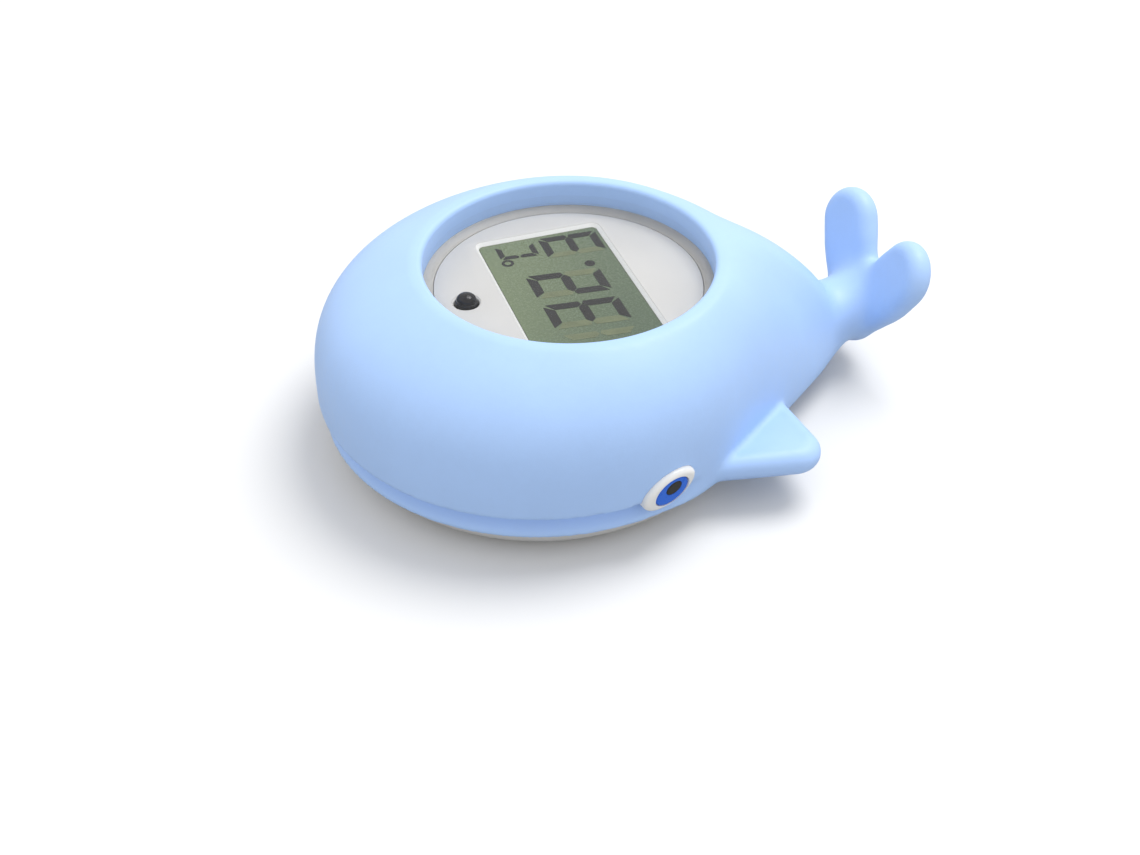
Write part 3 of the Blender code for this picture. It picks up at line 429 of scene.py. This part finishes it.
def flukeSolid(side):
    hubs = list(flukeForm["hubs"])
    if side < 0:
        hubs = [(-x, y, r) for x, y, r in reversed(hubs)]
    lean, cup = radians(flukeForm["tilt"]), radians(flukeForm["cup"])
    up = np.array([cos(lean), 0.0, sin(lean)])
    front = np.array([-sin(lean), 0.0, cos(lean)])
    across = np.array([0.0, cos(cup), 0.0]) + front * side * sin(cup)
    out = np.cross(across, up)
    footX, footZ = flukeForm["foot"]
    rings = paddleRings(hubs, flukeForm["thick"], flukeForm["round"])
    return loft("fluke", placed(rings, (footX, 0.0, footZ), across, up, out))


def stalkSolid():
    # from the tail, bending up to carry the flukes
    lean = radians(flukeForm["tilt"])
    start = np.array([flukeForm["stalkStart"][0], 0.0, flukeForm["stalkStart"][1]])
    corner = np.array([flukeForm["foot"][0], 0.0, flukeForm["stalkStart"][1]])
    end = corner + np.array([cos(lean), 0.0, sin(lean)]) * flukeForm["stalkRise"]
    turns = np.linspace(0, 2 * pi, flukeForm["stalkSides"] + 1)[:-1, None]
    rings = []
    for t in np.linspace(0, 1, flukeForm["stalkRows"]):
        centre = start * (1 - t) ** 2 + corner * 2 * t * (1 - t) + end * t * t
        along = (corner - start) * (1 - t) + (end - corner) * t
        along = along / np.linalg.norm(along)
        up = np.cross(along, (0.0, 1.0, 0.0))
        tall = blendOf(flukeForm["stalkTall"], flukeForm["thick"] * flukeForm["stalkEndTall"], t * t)
        wide = blendOf(flukeForm["stalkWide"], flukeForm["hubs"][0][2] * flukeForm["stalkEndWide"], t)
        rings.append(centre + up * tall * np.sin(turns) + np.array([0.0, 1.0, 0.0]) * wide * np.cos(turns))
    return loft("stalk", rings)


def hollowSolid():
    # the cavity, the sleeve round the lens and the hole in the back, as one cutter
    seam = bellyOutline(bellyForm["step"] - gap)
    skirt = skirtHeight(bodyOutline())
    cavity = teardrop(whale["headR"] - whale["sideWall"], whale["cavityTailX"], whale["cavityTailR"])
    turn = np.arctan2(*bodyOutline().T[::-1])
    flat = np.stack([np.cos(turn), np.sin(turn)], 1)
    holeR, lipZ, lipRound = whale["holeR"], whale["lipZ"], whale["lipRound"]
    wideR = holeR + whale["undercut"]
    sleeveR = wideR + whale["wall"]
    rings = [level(seam, skirt - 2 * past), level(seam, skirt + whale["wall"])]
    rings += reversed(domeRings(cavity, sleeveR, lipZ - lipRound - whale["wall"], whale["roofRows"]))
    rings += [level(flat * sleeveR, whale["collarZ"]), level(flat * wideR, whale["collarZ"]),
              level(flat * wideR, module["faceZ"] - whale["undercutDrop"]),
              level(flat * holeR, module["lensTop"])]
    for k in range(whale["lipSteps"] + 1):
        a = pi / 2 * k / whale["lipSteps"]
        rings.append(level(flat * (holeR + lipRound * (1 - cos(a))), lipZ - lipRound + lipRound * sin(a)))
    rings.append(level(flat * (holeR + lipRound * whale["lipFlare"]), lipZ + past))
    return loft("hollow", rings)


def relax(mesh, rounds, weight, back=0.0):
    # even out the surface; a little push back keeps its size
    count = len(mesh.vertices)
    points = np.empty(count * 3, np.float32)
    mesh.vertices.foreach_get("co", points)
    points = points.reshape(-1, 3).astype(np.float64)
    edges = np.empty(len(mesh.edges) * 2, np.int32)
    mesh.edges.foreach_get("vertices", edges)
    a, b = edges.reshape(-1, 2).T
    number = np.bincount(a, minlength=count) + np.bincount(b, minlength=count)
    strength = weight(points / mm)[:, None]

    def pull(amount):
        total = np.stack([np.bincount(a, points[b, k], count) + np.bincount(b, points[a, k], count)
                          for k in range(3)], 1)
        return points + strength * amount * (total / number[:, None] - points)

    for step in range(rounds):
        points = pull(0.5)
        if back:
            points = pull(-back)
    mesh.vertices.foreach_set("co", points.astype(np.float32).ravel())
    mesh.update()


def nearJoins(points):
    # 1 where the stalk leaves the tail and carries the flukes
    x, y, z = points.T
    form = flukeForm
    height = z - form["joinSlant"] * (x - form["joinSlantX"])
    share = fade(*form["joinX"], x) * (1 - fade(*form["joinZ"], height))
    return share * (1 - form["joinSideShare"] * fade(*form["joinSide"], abs(y)))


def finRoots(points):
    # 1 along the line where each fin leaves the body
    x, y, z = points.T
    form = finForm
    near = 1 - np.clip(abs(abs(y) - np.interp(x, form["joinX"], form["joinY"])) / form["joinReach"], 0, 1)
    alongBody = fade(*form["joinStart"], x) * (1 - fade(*form["joinEnd"], x))
    return near * alongBody * (1 - fade(*form["joinTop"], z)) * fade(*form["joinFoot"], z)


def makeBody():
    # one dense skin over dome, skirt, fins, flukes and stalk, evened out and then hollowed
    outline = bodyOutline()
    seam = bellyOutline(bellyForm["step"] - gap)
    turn = np.arctan2(*outline.T[::-1])
    flat = np.stack([np.cos(turn), np.sin(turn)], 1)
    crest = (whale["holeR"] + whale["lipR"]) / 2
    inner = whale["holeR"] - whale["coreInset"]
    rings = [level(flat * r, whale["lipZ"]) for r in (inner, whale["holeR"], crest)]
    for t in whale["crestRows"]:
        rings.append(level(flat * blendOf(crest, whale["lipR"], t), whale["lipZ"] - whale["lipDrop"] * t * t))
    rings += domeRings(outline, whale["lipR"], whale["lipZ"] - whale["lipDrop"], whale["domeRows"])
    rings += skirtRings(outline, seam)
    body = loft("whaleBody", rings)
    joined(body, [finSolid(1), finSolid(-1), flukeSolid(1), flukeSolid(-1), stalkSolid()])
    remesh = body.modifiers.new("skin", "REMESH")
    remesh.mode = "VOXEL"
    remesh.voxel_size = whale["voxel"] * mm
    baked(body)
    relax(body.data, whale["evenRounds"], lambda points: np.ones(len(points)), whale["evenBack"])
    relax(body.data, whale["joinRounds"], nearJoins)
    relax(body.data, whale["finRounds"], finRoots)
    print("body skin", len(body.data.vertices))
    combine(body, [hollowSolid()] + [eyeSocket(side) for side in (-1, 1)], "DIFFERENCE")
    return smoothShade(body, 42.0)


def makeBelly():
    # the white underside: an upstand inside the body's seam, a bowl, and the tube round the module
    form, seam = bellyForm, skirtHeight(bodyOutline())
    turn = np.arctan2(*bellyOutline().T[::-1])
    flat = np.stack([np.cos(turn), np.sin(turn)], 1)
    step, wall, tubeR, tubeTop = form["step"], form["wall"], form["tubeR"], form["tubeTop"]
    outerR, rim = tubeR + form["tubeWall"], seam - gap
    rings = [level(bellyOutline(step), seam + form["upstand"]), level(bellyOutline(step), rim),
             level(bellyOutline(form["edge"]), rim), level(bellyOutline(), rim - form["edge"])]
    for inward in np.linspace(0.0, 1.0, form["bowlRows"]) ** form["bowlSpacing"]:
        up = form["bowlTall"] * (1 - inward ** form["bowlRound"]) ** form["bowlCurve"]
        rings.append(level(bellyOutline(form["flatInset"] * inward), rim * up))
    rings += [level(flat * tubeR, 0.0), level(flat * tubeR, tubeTop),
              level(flat * outerR, tubeTop), level(flat * outerR, wall),
              level(bellyOutline(form["flatInset"] + wall), wall), level(bellyOutline(step + wall), rim),
              level(bellyOutline(step + wall), seam + form["upstand"])]
    belly = loft("bellyBowl", rings, ringToRing=True)
    seat, holes = form["screwSeat"], []
    for k in range(form["screws"]):
        angle = radians(form["screwTurn"] + 360 * k / form["screws"])
        centre = (form["screwRing"] * cos(angle), form["screwRing"] * sin(angle))
        holes.append(lathe("hole", [(form["headBore"], -past), (form["headBore"], seat),
                                    (form["bore"], seat), (form["bore"], tubeTop + past)], 40, centre))
    combine(belly, holes, "DIFFERENCE")
    done(smoothShade(belly, 40.0), bellyPaint, "belly_shell")


# the eyes: a white, an iris and a pupil on each side

eye = {
    "x": 3.35, "z": 12.2, "length": 10.0, "height": 5.7, "power": 1.85, "turn": 22.0, "inset": 0.15,
    "sink": 1.2, "proud": 1.1, "round": 0.9, "crown": 0.08, "seam": 0.05, "steps": 96,
    "iris": (6.3, 4.3), "irisShift": (0.1, -0.2), "irisDepth": 0.9, "irisBelow": 0.1, "irisRound": 0.3,
    "irisSeam": 0.14, "irisFlare": 0.6, "flareFrom": -0.15, "flareTo": 0.35,
    "pupil": (2.9, 2.1), "pupilShift": (0.5, 0.4), "pupilSeam": 0.12, "pupilPit": 0.5,
    "pupilDeep": 0.45, "pupilBelow": 0.02, "pupilRound": 0.2,
    "roundRows": 8, "crownRows": (0.75, 0.5, 0.25, 0.06),
}


def eyeFrame(side):
    # x along the head towards the tail, y up, z out of the head
    y = ((whale["headR"] - eye["inset"]) ** 2 - (eye["x"] - whale["headX"]) ** 2) ** 0.5
    out = Vector((eye["x"] - whale["headX"], side * y, 0.0)).normalized()
    up = Vector((0.0, 0.0, 1.0))
    along = Vector((-out.y, out.x, 0.0)) * (1 if out.y < 0 else -1)
    turn = radians(eye["turn"])
    longWay = along * cos(turn) + up * sin(turn)
    highWay = up * cos(turn) - along * sin(turn)
    normal = longWay.cross(highWay)
    if normal.dot(out) < 0:
        normal = -normal
    return (eye["x"], side * y, eye["z"]), longWay, highWay, normal


def oval(length, height, shift=(0.0, 0.0), power=2.0):
    # an ellipse, with more pointed ends where power is under 2
    a = np.arange(eye["steps"]) * 2 * pi / eye["steps"]
    c, s = np.cos(a), np.sin(a)
    return np.stack([shift[0] + length / 2 * abs(c) ** (2 / power) * np.sign(c),
                     shift[1] + height / 2 * abs(s) ** (2 / power) * np.sign(s)], 1)


def eyeLoft(name, side, layers):
    return loft(name, placed([level(o, z) for o, z in layers], *eyeFrame(side)))


def eyeSocket(side):
    outline = oval(eye["length"] + 2 * eye["seam"], eye["height"] + 2 * eye["seam"], power=eye["power"])
    return eyeLoft("socket", side, [(outline, -eye["sink"]), (outline, eye["proud"] * 3)])


def pillow(size, shift, power, low, high, rounding, crown=0.0):
    # layers of an oval button: straight side, rounded shoulder, gently domed top
    length, height = size
    shoulder = high - rounding
    layers = [(oval(length, height, shift, power), z) for z in (low, shoulder)]
    for k in range(1, eye["roundRows"] + 1):
        a = pi / 2 * k / eye["roundRows"]
        inset = 2 * rounding * (1 - cos(a))
        layers.append((oval(length - inset, height - inset, shift, power), shoulder + rounding * sin(a)))
    length, height = length - 2 * rounding, height - 2 * rounding
    for t in eye["crownRows"]:
        layers.append((oval(length * t, height * t, shift, power), high + crown * (1 - t * t)))
    return layers


def pitFor(size, seam, shift):
    return oval(size[0] + seam, size[1] + seam, shift)


def makeEye(side, hand):
    # a white with a flared well, the iris in that well, and the pupil in a pit of the iris
    proud, base = eye["proud"], -eye["sink"] + gap
    floor = proud - eye["irisDepth"]
    size = eye["length"], eye["height"]
    white = eyeLoft(hand + "EyeWhite", side, pillow(size, (0, 0), eye["power"], base, proud, eye["round"],
                                                    eye["crown"]))
    hollow = pitFor(eye["iris"], eye["irisSeam"], eye["irisShift"])
    flare = pitFor(eye["iris"], eye["irisFlare"], eye["irisShift"])
    cutter = eyeLoft("cutter", side, [(hollow, floor), (hollow, proud + eye["flareFrom"]),
                                      (flare, proud + eye["flareTo"])])
    combine(white, [cutter], "DIFFERENCE")
    done(smoothShade(white, 40.0), eyeWhitePaint, hand + "_eye_white")
    iris = eyeLoft(hand + "EyeIris", side, pillow(eye["iris"], eye["irisShift"], 2.0, floor + gap / 2,
                                                  proud - eye["irisBelow"], eye["irisRound"]))
    shift = [a + b for a, b in zip(eye["irisShift"], eye["pupilShift"])]
    pit = pitFor(eye["pupil"], eye["pupilSeam"], shift)
    cutter = eyeLoft("cutter", side, [(pit, proud - eye["pupilPit"]), (pit, proud + eye["pupilPit"])])
    combine(iris, [cutter], "DIFFERENCE")
    done(smoothShade(iris, 40.0), irisPaint, hand + "_eye_iris")
    pupil = eyeLoft(hand + "EyePupil", side, pillow(eye["pupil"], shift, 2.0, proud - eye["pupilDeep"],
                                                    proud - eye["pupilBelow"], eye["pupilRound"]))
    done(smoothShade(pupil, 40.0), pupilPaint, hand + "_eye_pupil")


# finishes

bodyPaint = plastic("softBlue", (0.42, 0.615, 0.975), 0.46, tint=0.018, grain=0.05, grainSize=3200.0,
                    specular=0.4)
bellyPaint = plastic("bellyWhite", (0.70, 0.695, 0.68), 0.38, tint=0.02)
housingPaint = plastic("housingGrey", (0.70, 0.72, 0.74), 0.42, tint=0.03)
sealPaint = plastic("sealGrey", (0.43, 0.42, 0.40), 0.5, tint=0.06, specular=0.2)
stripPaint = plastic("stripBlack", (0.03, 0.03, 0.034), 0.75, tint=0.2)
lampPaint = plastic("lampBlack", (0.006, 0.006, 0.008), 0.13, tint=0.2, grain=0.004, specular=0.28)
inkPaint = plastic("segmentInk", (0.040, 0.040, 0.040), 0.5, tint=0.10, grain=0.0, specular=0.1)
restingPaint = plastic("restingInk", (0.150, 0.172, 0.102), 0.4, tint=0.10, grain=0.0, spread=700.0,
                       specular=0.15)
boardPaint = plastic("boardGreen", (0.02, 0.16, 0.06), 0.45, tint=0.25)
resinPaint = plastic("resinBlack", (0.018, 0.018, 0.018), 0.35, tint=0.2)
eyeWhitePaint = plastic("eyeWhite", (0.80, 0.80, 0.79), 0.2, tint=0.01, grain=0.006, specular=0.4)
irisPaint = plastic("irisBlue", (0.032, 0.150, 0.70), 0.3, tint=0.05, grain=0.008, specular=0.2)
pupilPaint = plastic("pupilDark", (0.032, 0.032, 0.030), 0.35, tint=0.05, grain=0.0, specular=0.2)
steelPaint = metal("screwSteel", (0.62, 0.63, 0.65), 0.28)
capPaint = metal("sensorSteel", (0.72, 0.73, 0.74), 0.2)
contactPaint = metal("contactMetal", (0.75, 0.72, 0.62), 0.3)


def displayMaterial():
    # grey-green reflective display, lighter and yellower towards the nose edge
    material, tree, shader, place = newMaterial("displayGreen")
    x, y = place.xyz()[:2]
    drift = (x * 22.0 + y * -9.0).ramp(-0.35, 0.35)
    speckle = place.noise(2600.0, 4.0, 0.6).ramp(0.3, 0.7)
    base = drift.between((0.168, 0.208, 0.128), (0.108, 0.143, 0.098))
    darker = drift.between((0.150, 0.190, 0.114), (0.096, 0.130, 0.088))
    feed(tree, shader, "Base Color", speckle.between(darker, base))
    feed(tree, shader, "Roughness", speckle.ramp(0.0, 1.0, 0.22, 0.30))
    shader.inputs["Specular IOR Level"].default_value = 0.18
    return material


def clearMaterial(name, tintColour, haze, hazeColour, reflect):
    # thin clear plastic: see-through, mirrored at a glancing view, with a little haze
    material, tree, shader, place = newMaterial(name)
    shader.inputs["Base Color"].default_value = (*hazeColour, 1.0)
    feed(tree, shader, "Roughness", place.noise(400.0, 2.0).ramp(0.3, 0.7, 0.45, 0.55))
    clear = place.node("ShaderNodeBsdfTransparent", {"Color": (*tintColour, 1.0)})
    gloss = place.node("ShaderNodeBsdfGlossy", {"Color": (1.0, 1.0, 1.0, 1.0), "Roughness": 0.03})
    rim = place.node("ShaderNodeFresnel", {"IOR": 1.49})
    outside = 1.0 - place.node("ShaderNodeNewGeometry", out="Backfacing")
    cover = place.noise(60.0, 3.0).ramp(0.3, 0.7, haze * 0.8, haze * 1.2)
    body = place.node("ShaderNodeMixShader", {0: cover, 1: clear, 2: Wire(tree, shader.outputs[0])})
    whole = place.node("ShaderNodeMixShader", {0: rim * outside * reflect, 1: body, 2: gloss})
    tree.links.new(whole.socket, tree.nodes["Material Output"].inputs["Surface"])
    return material


def faceMaterial():
    # satin grey face; just under its top plane, on the bevel round the window, it turns lighter: painted
    # light on the bevel
    material, tree, shader, place = newMaterial("faceGrey")
    height = place.xyz()[2]
    top = module["faceZ"] * mm
    mottle = place.noise(90.0, 2.0).ramp(0.3, 0.7)
    plate = mottle.between((0.565, 0.558, 0.545), (0.585, 0.578, 0.565))
    # painted light: the window's bevel is coloured near white, lighter than the rest of the face
    bevelPaintedLight = height.ramp(top - 0.12 * mm, top - 0.02 * mm, 1.0, 0.0)
    feed(tree, shader, "Base Color", bevelPaintedLight.between(plate, (0.79, 0.79, 0.78)))
    feed(tree, shader, "Roughness", place.noise(800.0, 4.0).ramp(0.25, 0.75, 0.33, 0.43))
    feed(tree, shader, "Normal", bumped(place, place.noise(2500.0, 2.0), 0.02, 0.0002))
    shader.inputs["Specular IOR Level"].default_value = 0.25
    return material


displayPaint = displayMaterial()
lensPaint = clearMaterial("clearLens", (0.99, 0.99, 0.99), 0.005, (0.8, 0.8, 0.8), 0.3)


# the display module: face, display, digits, lamp, lens and seal

module = {
    "faceR": 22.5, "faceZ": 27.6, "faceThick": 1.0, "faceEdge": ((0.0, 0.2), (0.06, 0.06), (0.2, 0.0)),
    "windowX": (-11.1, 10.6), "windowY": (-17.8, 16.3), "corner": 1.0, "bevel": 0.62,
    "cutterGrow": 0.9, "cutterOver": 0.45,
    "panelTop": 26.3, "panelUnder": 24.6, "panelMargin": 0.5, "glassTop": 27.0, "glassInset": 0.1,
    "lensR": 23.75, "lensSkirt": 0.95, "lensTop": 30.6, "lensThick": 0.9, "lensFoot": 27.7,
    "lensEdge": ((0.0, 0.35), (0.1, 0.1), (0.35, 0.0)), "lensInnerEdge": 0.3,
    "sealR": (22.58, 24.4), "sealOver": 0.05, "sealRise": 0.55, "sealEdge": 0.1, "sealDeep": 1.0,
}
lamp = {
    "x": -17.7, "r": 1.88, "foot": 21.0, "proud": 0.3, "edge": ((0.0, 0.12), (0.05, 0.03), (0.14, 0.0)),
    "domeR": 1.7, "domeHeight": 1.25, "domeFoot": 0.06, "domeFillet": 0.05, "domeRows": 14,
    "holeR": 2.15, "holeFlareR": 2.5, "holeFlareFrom": 0.25, "holeFlareOver": 0.1,
}


def roundRect(low, high, radius, steps=8):
    (x0, x1), (y0, y1) = (low[0], high[0]), (low[1], high[1])
    corners = (((x1 - radius, y1 - radius), 0.0), ((x0 + radius, y1 - radius), 90.0),
               ((x0 + radius, y0 + radius), 180.0), ((x1 - radius, y0 + radius), 270.0))
    return np.vstack([arcPoints(c, radius, radians(a), radians(a + 90), steps) for c, a in corners])


def windowRings(steps):
    # the window's outline, grown and set at a height for each step
    (x0, x1), (y0, y1) = module["windowX"], module["windowY"]
    return [level(roundRect((x0 - grow, y0 - grow), (x1 + grow, y1 + grow), module["corner"] + grow), z)
            for grow, z in steps]


def makeFace():
    top, under, bevel = module["faceZ"], module["faceZ"] - module["faceThick"], module["bevel"]
    profile = [(module["faceR"], under)] + edgePoints(module["faceR"], top, module["faceEdge"])
    plate = lathe("facePlate", profile, 160)
    window = loft("window", windowRings(((0.0, under - gap), (0.0, top - bevel), (bevel, top),
                                         (module["cutterGrow"], top + module["cutterOver"]))))
    lampHole = lathe("hole", [(lamp["holeR"], under - gap), (lamp["holeR"], top - lamp["holeFlareFrom"]),
                              (lamp["holeFlareR"], top + lamp["holeFlareOver"])], 64, (lamp["x"], 0.0))
    combine(plate, [window, lampHole], "DIFFERENCE")
    done(smoothShade(plate, 30.0), faceMaterial(), "face_plate")


def makeDisplay():
    # a panel behind the face whose glass rises into the window
    wide, narrow = module["panelMargin"], -module["glassInset"]
    rings = windowRings(((wide, module["panelUnder"]), (wide, module["panelTop"]),
                         (narrow, module["panelTop"]), (narrow, module["glassTop"])))
    done(smoothShade(loft("displayPanel", rings), 30.0), displayPaint, "lcd_panel")


# digits: u runs along the reading direction (+Y), v up the digit (-X); lean tips the top along u
tallDigit = {"v": -0.25, "tall": 11.1, "wide": 5.4, "stroke": 1.62, "lean": 0.10}
digits = {
    "lift": 0.015, "thick": 0.02, "slot": 0.15, "mitre": 0.55, "corner": 0.16,
    "hundreds": {"u": -17.4, **tallDigit},
    "tens": {"u": -8.5, **tallDigit},
    "ones": {"u": 0.65, **tallDigit},
    "tenths": {"u": 11.95, "v": -4.75, "tall": 9.0, "wide": 5.1, "stroke": 1.42, "lean": 0.05},
    "unit": {"u": 12.9, "v": 5.0, "tall": 5.8, "wide": 3.3, "stroke": 0.98, "lean": 0.08},
    "lit": {"tens": "abcdg", "ones": "abdeg", "tenths": "abcdg", "unit": "adef"},
    "resting": {"tens": "ef", "ones": "cf", "tenths": "ef", "hundreds": "bc"},
    "point": (5.2, -5.65, 0.92), "degree": (9.75, 7.6, 1.05, 0.55),
}


def segmentShapes(digit, wanted):
    # outlines of the wanted strokes, with mitred ends, in display coordinates
    h, w, s, g = digit["tall"] / 2, digit["wide"] / 2, digit["stroke"] / 2, digits["slot"] / 2
    tip = s * digits["mitre"]
    bar = [(-w - tip + g, h + s), (w + tip - g, h + s), (w - s - g, h - s), (-w + s + g, h - s)]
    post = [(w + s, h + tip - g), (w + s, s - tip + g), (w, g), (w - s, s + g), (w - s, h - s - g)]
    middle = [(-w + g, 0.0), (-w + s + g, s), (w - s - g, s), (w - g, 0.0), (w - s - g, -s), (-w + s + g, -s)]
    shapes = {"a": bar, "d": [(u, -v) for u, v in reversed(bar)], "g": middle, "b": post,
              "c": [(u, -v) for u, v in reversed(post)], "f": [(-u, v) for u, v in reversed(post)],
              "e": [(-u, -v) for u, v in post]}
    for key in wanted:
        yield [(digit["u"] + u + v * digit["lean"], digit["v"] + v) for u, v in shapes[key]]


def softCorners(points, steps=3):
    radius, out = digits["corner"], []
    for i, point in enumerate(points):
        here, before, after = Vector(point), Vector(points[i - 1]), Vector(points[(i + 1) % len(points)])
        start = here + (before - here).normalized() * radius
        end = here + (after - here).normalized() * radius
        for k in range(steps + 1):
            t = k / steps
            out.append(tuple(start * (1 - t) ** 2 + here * 2 * t * (1 - t) + end * t * t))
    return out


def inkPlate(name, outlines, paint, lift):
    # thin plates on the glass, each outline given as (u, v)
    base = module["glassTop"] + lift
    plates = []
    for outline in outlines:
        flat = np.array([(-v, u) for u, v in outline])
        plates.append(loft(name, [level(flat, base), level(flat, base + digits["thick"])]))
    whole = joined(plates[0], plates[1:])
    whole.name = name
    done(smoothShade(whole, 30.0), paint)


def strokes(kind):
    # soft-cornered outlines of the lit or the resting strokes
    return [softCorners(shape) for name, wanted in digits[kind].items()
            for shape in segmentShapes(digits[name], wanted)]


def makeDigits():
    u, v, r = digits["point"]
    dot = [(u + r * cos(a), v + r * sin(a)) for a in np.arange(32) * pi / 16]
    inkPlate("litSegments", strokes("lit") + [dot], inkPaint, digits["lift"])
    u, v, r, inner = digits["degree"]
    turns = np.arange(40) * pi / 20
    low = module["glassTop"] + digits["lift"]
    high = low + digits["thick"]
    way = np.stack([-np.sin(turns), np.cos(turns)], 1)
    rings = [level(np.array((-v, u)) + way * k, z)
             for k, z in ((inner, low), (r, low), (r, high), (inner, high))]
    done(smoothShade(loft("degreeRing", rings, True), 30.0), inkPaint)
    inkPlate("restingSegments", strokes("resting"), restingPaint, digits["lift"] / 2)


def makeLamp():
    # a low collar and a dome
    top, domeR = module["faceZ"] + lamp["proud"], lamp["domeR"]
    foot = top + lamp["domeFoot"]
    profile = [(lamp["r"], lamp["foot"])] + edgePoints(lamp["r"], top, lamp["edge"])
    profile += [(domeR + lamp["domeFillet"], top), (domeR, foot)]
    for k in range(1, lamp["domeRows"]):
        a = radians(90 * k / lamp["domeRows"])
        profile.append((domeR * cos(a), foot + lamp["domeHeight"] * sin(a)))
    obj = lathe("alarmLamp", profile, 64, (lamp["x"], 0.0))
    done(smoothShade(obj, 50.0), lampPaint, "alarm_lamp")


def makeLens():
    # a cap: down the outside of the skirt, in under its foot and up to the cap's underside
    r, top, foot, edge = (module[k] for k in ("lensR", "lensTop", "lensFoot", "lensInnerEdge"))
    innerR, under = r - module["lensSkirt"], top - module["lensThick"]
    profile = list(reversed([(r, foot)] + edgePoints(r, top, module["lensEdge"])))
    profile += [(innerR, foot), (innerR, under - edge), (innerR - edge, under)]
    lens = lathe("clearLens", profile, 160)
    done(smoothShade(lens, 40.0), lensPaint, "clear_lens")


def makeSeal():
    # grey gasket round the face, rising outwards, that shows through the lens's skirt
    inner, outer = module["sealR"]
    top, rise, edge = module["faceZ"] + module["sealOver"], module["sealRise"], module["sealEdge"]
    foot = top - module["sealDeep"]
    profile = [(outer, foot), (outer, top + rise - edge), (outer - edge, top + rise),
               (inner + edge, top), (inner, top - edge), (inner, foot)]
    done(smoothShade(lathe("lensSeal", profile, 160, ringToRing=True), 40.0), sealPaint, "lens_seal")


# solids kept from the frame, and the order of the work

carried = {
    "module_housing": housingPaint, "battery_door": housingPaint,
    "door_seal": sealPaint, "contact_strip": stripPaint,
    "circuit_board": boardPaint, "chip_blob": resinPaint, "sensor_bead": resinPaint,
    "button_cell": steelPaint, "spring_contact": contactPaint, "side_contact": contactPaint,
    "sensor_cap": capPaint, "door_screw": steelPaint,
}
for key in ("case_screw_1", "case_screw_2", "case_screw_3", "board_screw_1", "board_screw_2"):
    carried[key] = steelPaint
for key, paint in carried.items():
    nodes[key].data.materials.clear()
    nodes[key].data.materials.append(paint)
print("carried solids painted", len(carried))

done(makeBody(), bodyPaint, "whale_body")
makeBelly()
print("body done")
for side, hand in ((-1, "left"), (1, "right")):
    makeEye(side, hand)
print("eyes done")
makeFace()
makeDisplay()
makeDigits()
makeLamp()
makeLens()
makeSeal()
print("module done")


# floor, sky, lamp and camera

# places and sizes are in metres here, lens and sensor in millimetres, the lamp in watts
view = {
    "lens": 43.83, "sensor": 36.0, "nearest": 0.01,
    "place": (-0.0636, -0.1834, 0.1562), "look": (0.2537, 0.7288, -0.6360),
    "skyLow": 0.80, "skyHigh": 0.94, "sky": (1.0, 1.0, 1.0),
    "lampPlace": (0.34, 0.12, 0.75), "lampTarget": (0.0, 0.0, 0.02), "lampSize": 0.5, "lampPower": 4.0,
    "floorSize": 6.0, "floorSeen": (0.81, 0.83), "floorBounce": 0.48,
}


def makeFloor():
    mesh = bpy.data.meshes.new("floor")
    s = view["floorSize"] / 2
    mesh.from_pydata([(-s, -s, 0), (s, -s, 0), (s, s, 0), (-s, s, 0)], [], [(0, 1, 2, 3)])
    floor = bpy.data.objects.new("floor", mesh)
    bpy.context.scene.collection.objects.link(floor)
    material, tree, shader, place = newMaterial("floorPaper")
    shade = place.noise(4.0, 2.0).ramp(0.2, 0.8)
    dark, light = view["floorSeen"]
    seen = shade.between((dark,) * 3, (light,) * 3)
    camera = Wire(tree, tree.nodes.new("ShaderNodeLightPath").outputs["Is Camera Ray"])
    feed(tree, shader, "Base Color", camera.between((view["floorBounce"],) * 3, seen))
    shader.inputs["Roughness"].default_value = 0.9
    shader.inputs["Specular IOR Level"].default_value = 0.1
    mesh.materials.append(material)


def makeSky():
    # brighter overhead than at the horizon; plain white to the camera, in reflections and through glass
    world = bpy.data.worlds.new("sky")
    world.use_nodes = True
    tree = world.node_tree
    background = tree.nodes["Background"]
    height = Wire(tree, tree.nodes.new("ShaderNodeTexCoord").outputs["Generated"]).xyz()[2]
    paths = tree.nodes.new("ShaderNodeLightPath").outputs
    rays = ("Is Camera Ray", "Is Glossy Ray", "Is Transmission Ray")
    camera, glossy, through = (Wire(tree, paths[ray]) for ray in rays)
    seen = 1.0 - (1.0 - camera) * (1.0 - glossy) * (1.0 - through)
    glow = height.ramp(0.05, 0.95, view["skyLow"], view["skyHigh"])
    strength = seen + (1.0 - seen) * glow
    tree.links.new(strength.socket, background.inputs["Strength"])
    background.inputs["Color"].default_value = (*view["sky"], 1.0)
    bpy.context.scene.world = world


def makeOverheadLamp():
    light = bpy.data.lights.new("overhead", "AREA")
    light.shape = "DISK"
    light.size = view["lampSize"]
    light.energy = view["lampPower"]
    obj = bpy.data.objects.new("overhead", light)
    obj.location = view["lampPlace"]
    look = Vector(view["lampTarget"]) - Vector(view["lampPlace"])
    obj.rotation_euler = look.to_track_quat("-Z", "Y").to_euler()
    bpy.context.scene.collection.objects.link(obj)


def makeCamera():
    camera = bpy.data.cameras.new("camera")
    camera.lens = view["lens"]
    camera.sensor_width = view["sensor"]
    camera.clip_start = view["nearest"]
    obj = bpy.data.objects.new("camera", camera)
    obj.location = view["place"]
    obj.rotation_euler = Vector(view["look"]).to_track_quat("-Z", "Y").to_euler()
    bpy.context.scene.collection.objects.link(obj)
    bpy.context.scene.camera = obj


makeFloor()
makeSky()
makeOverheadLamp()
makeCamera()
bpy.context.scene.view_settings.view_transform = "Standard"
print("room ready")
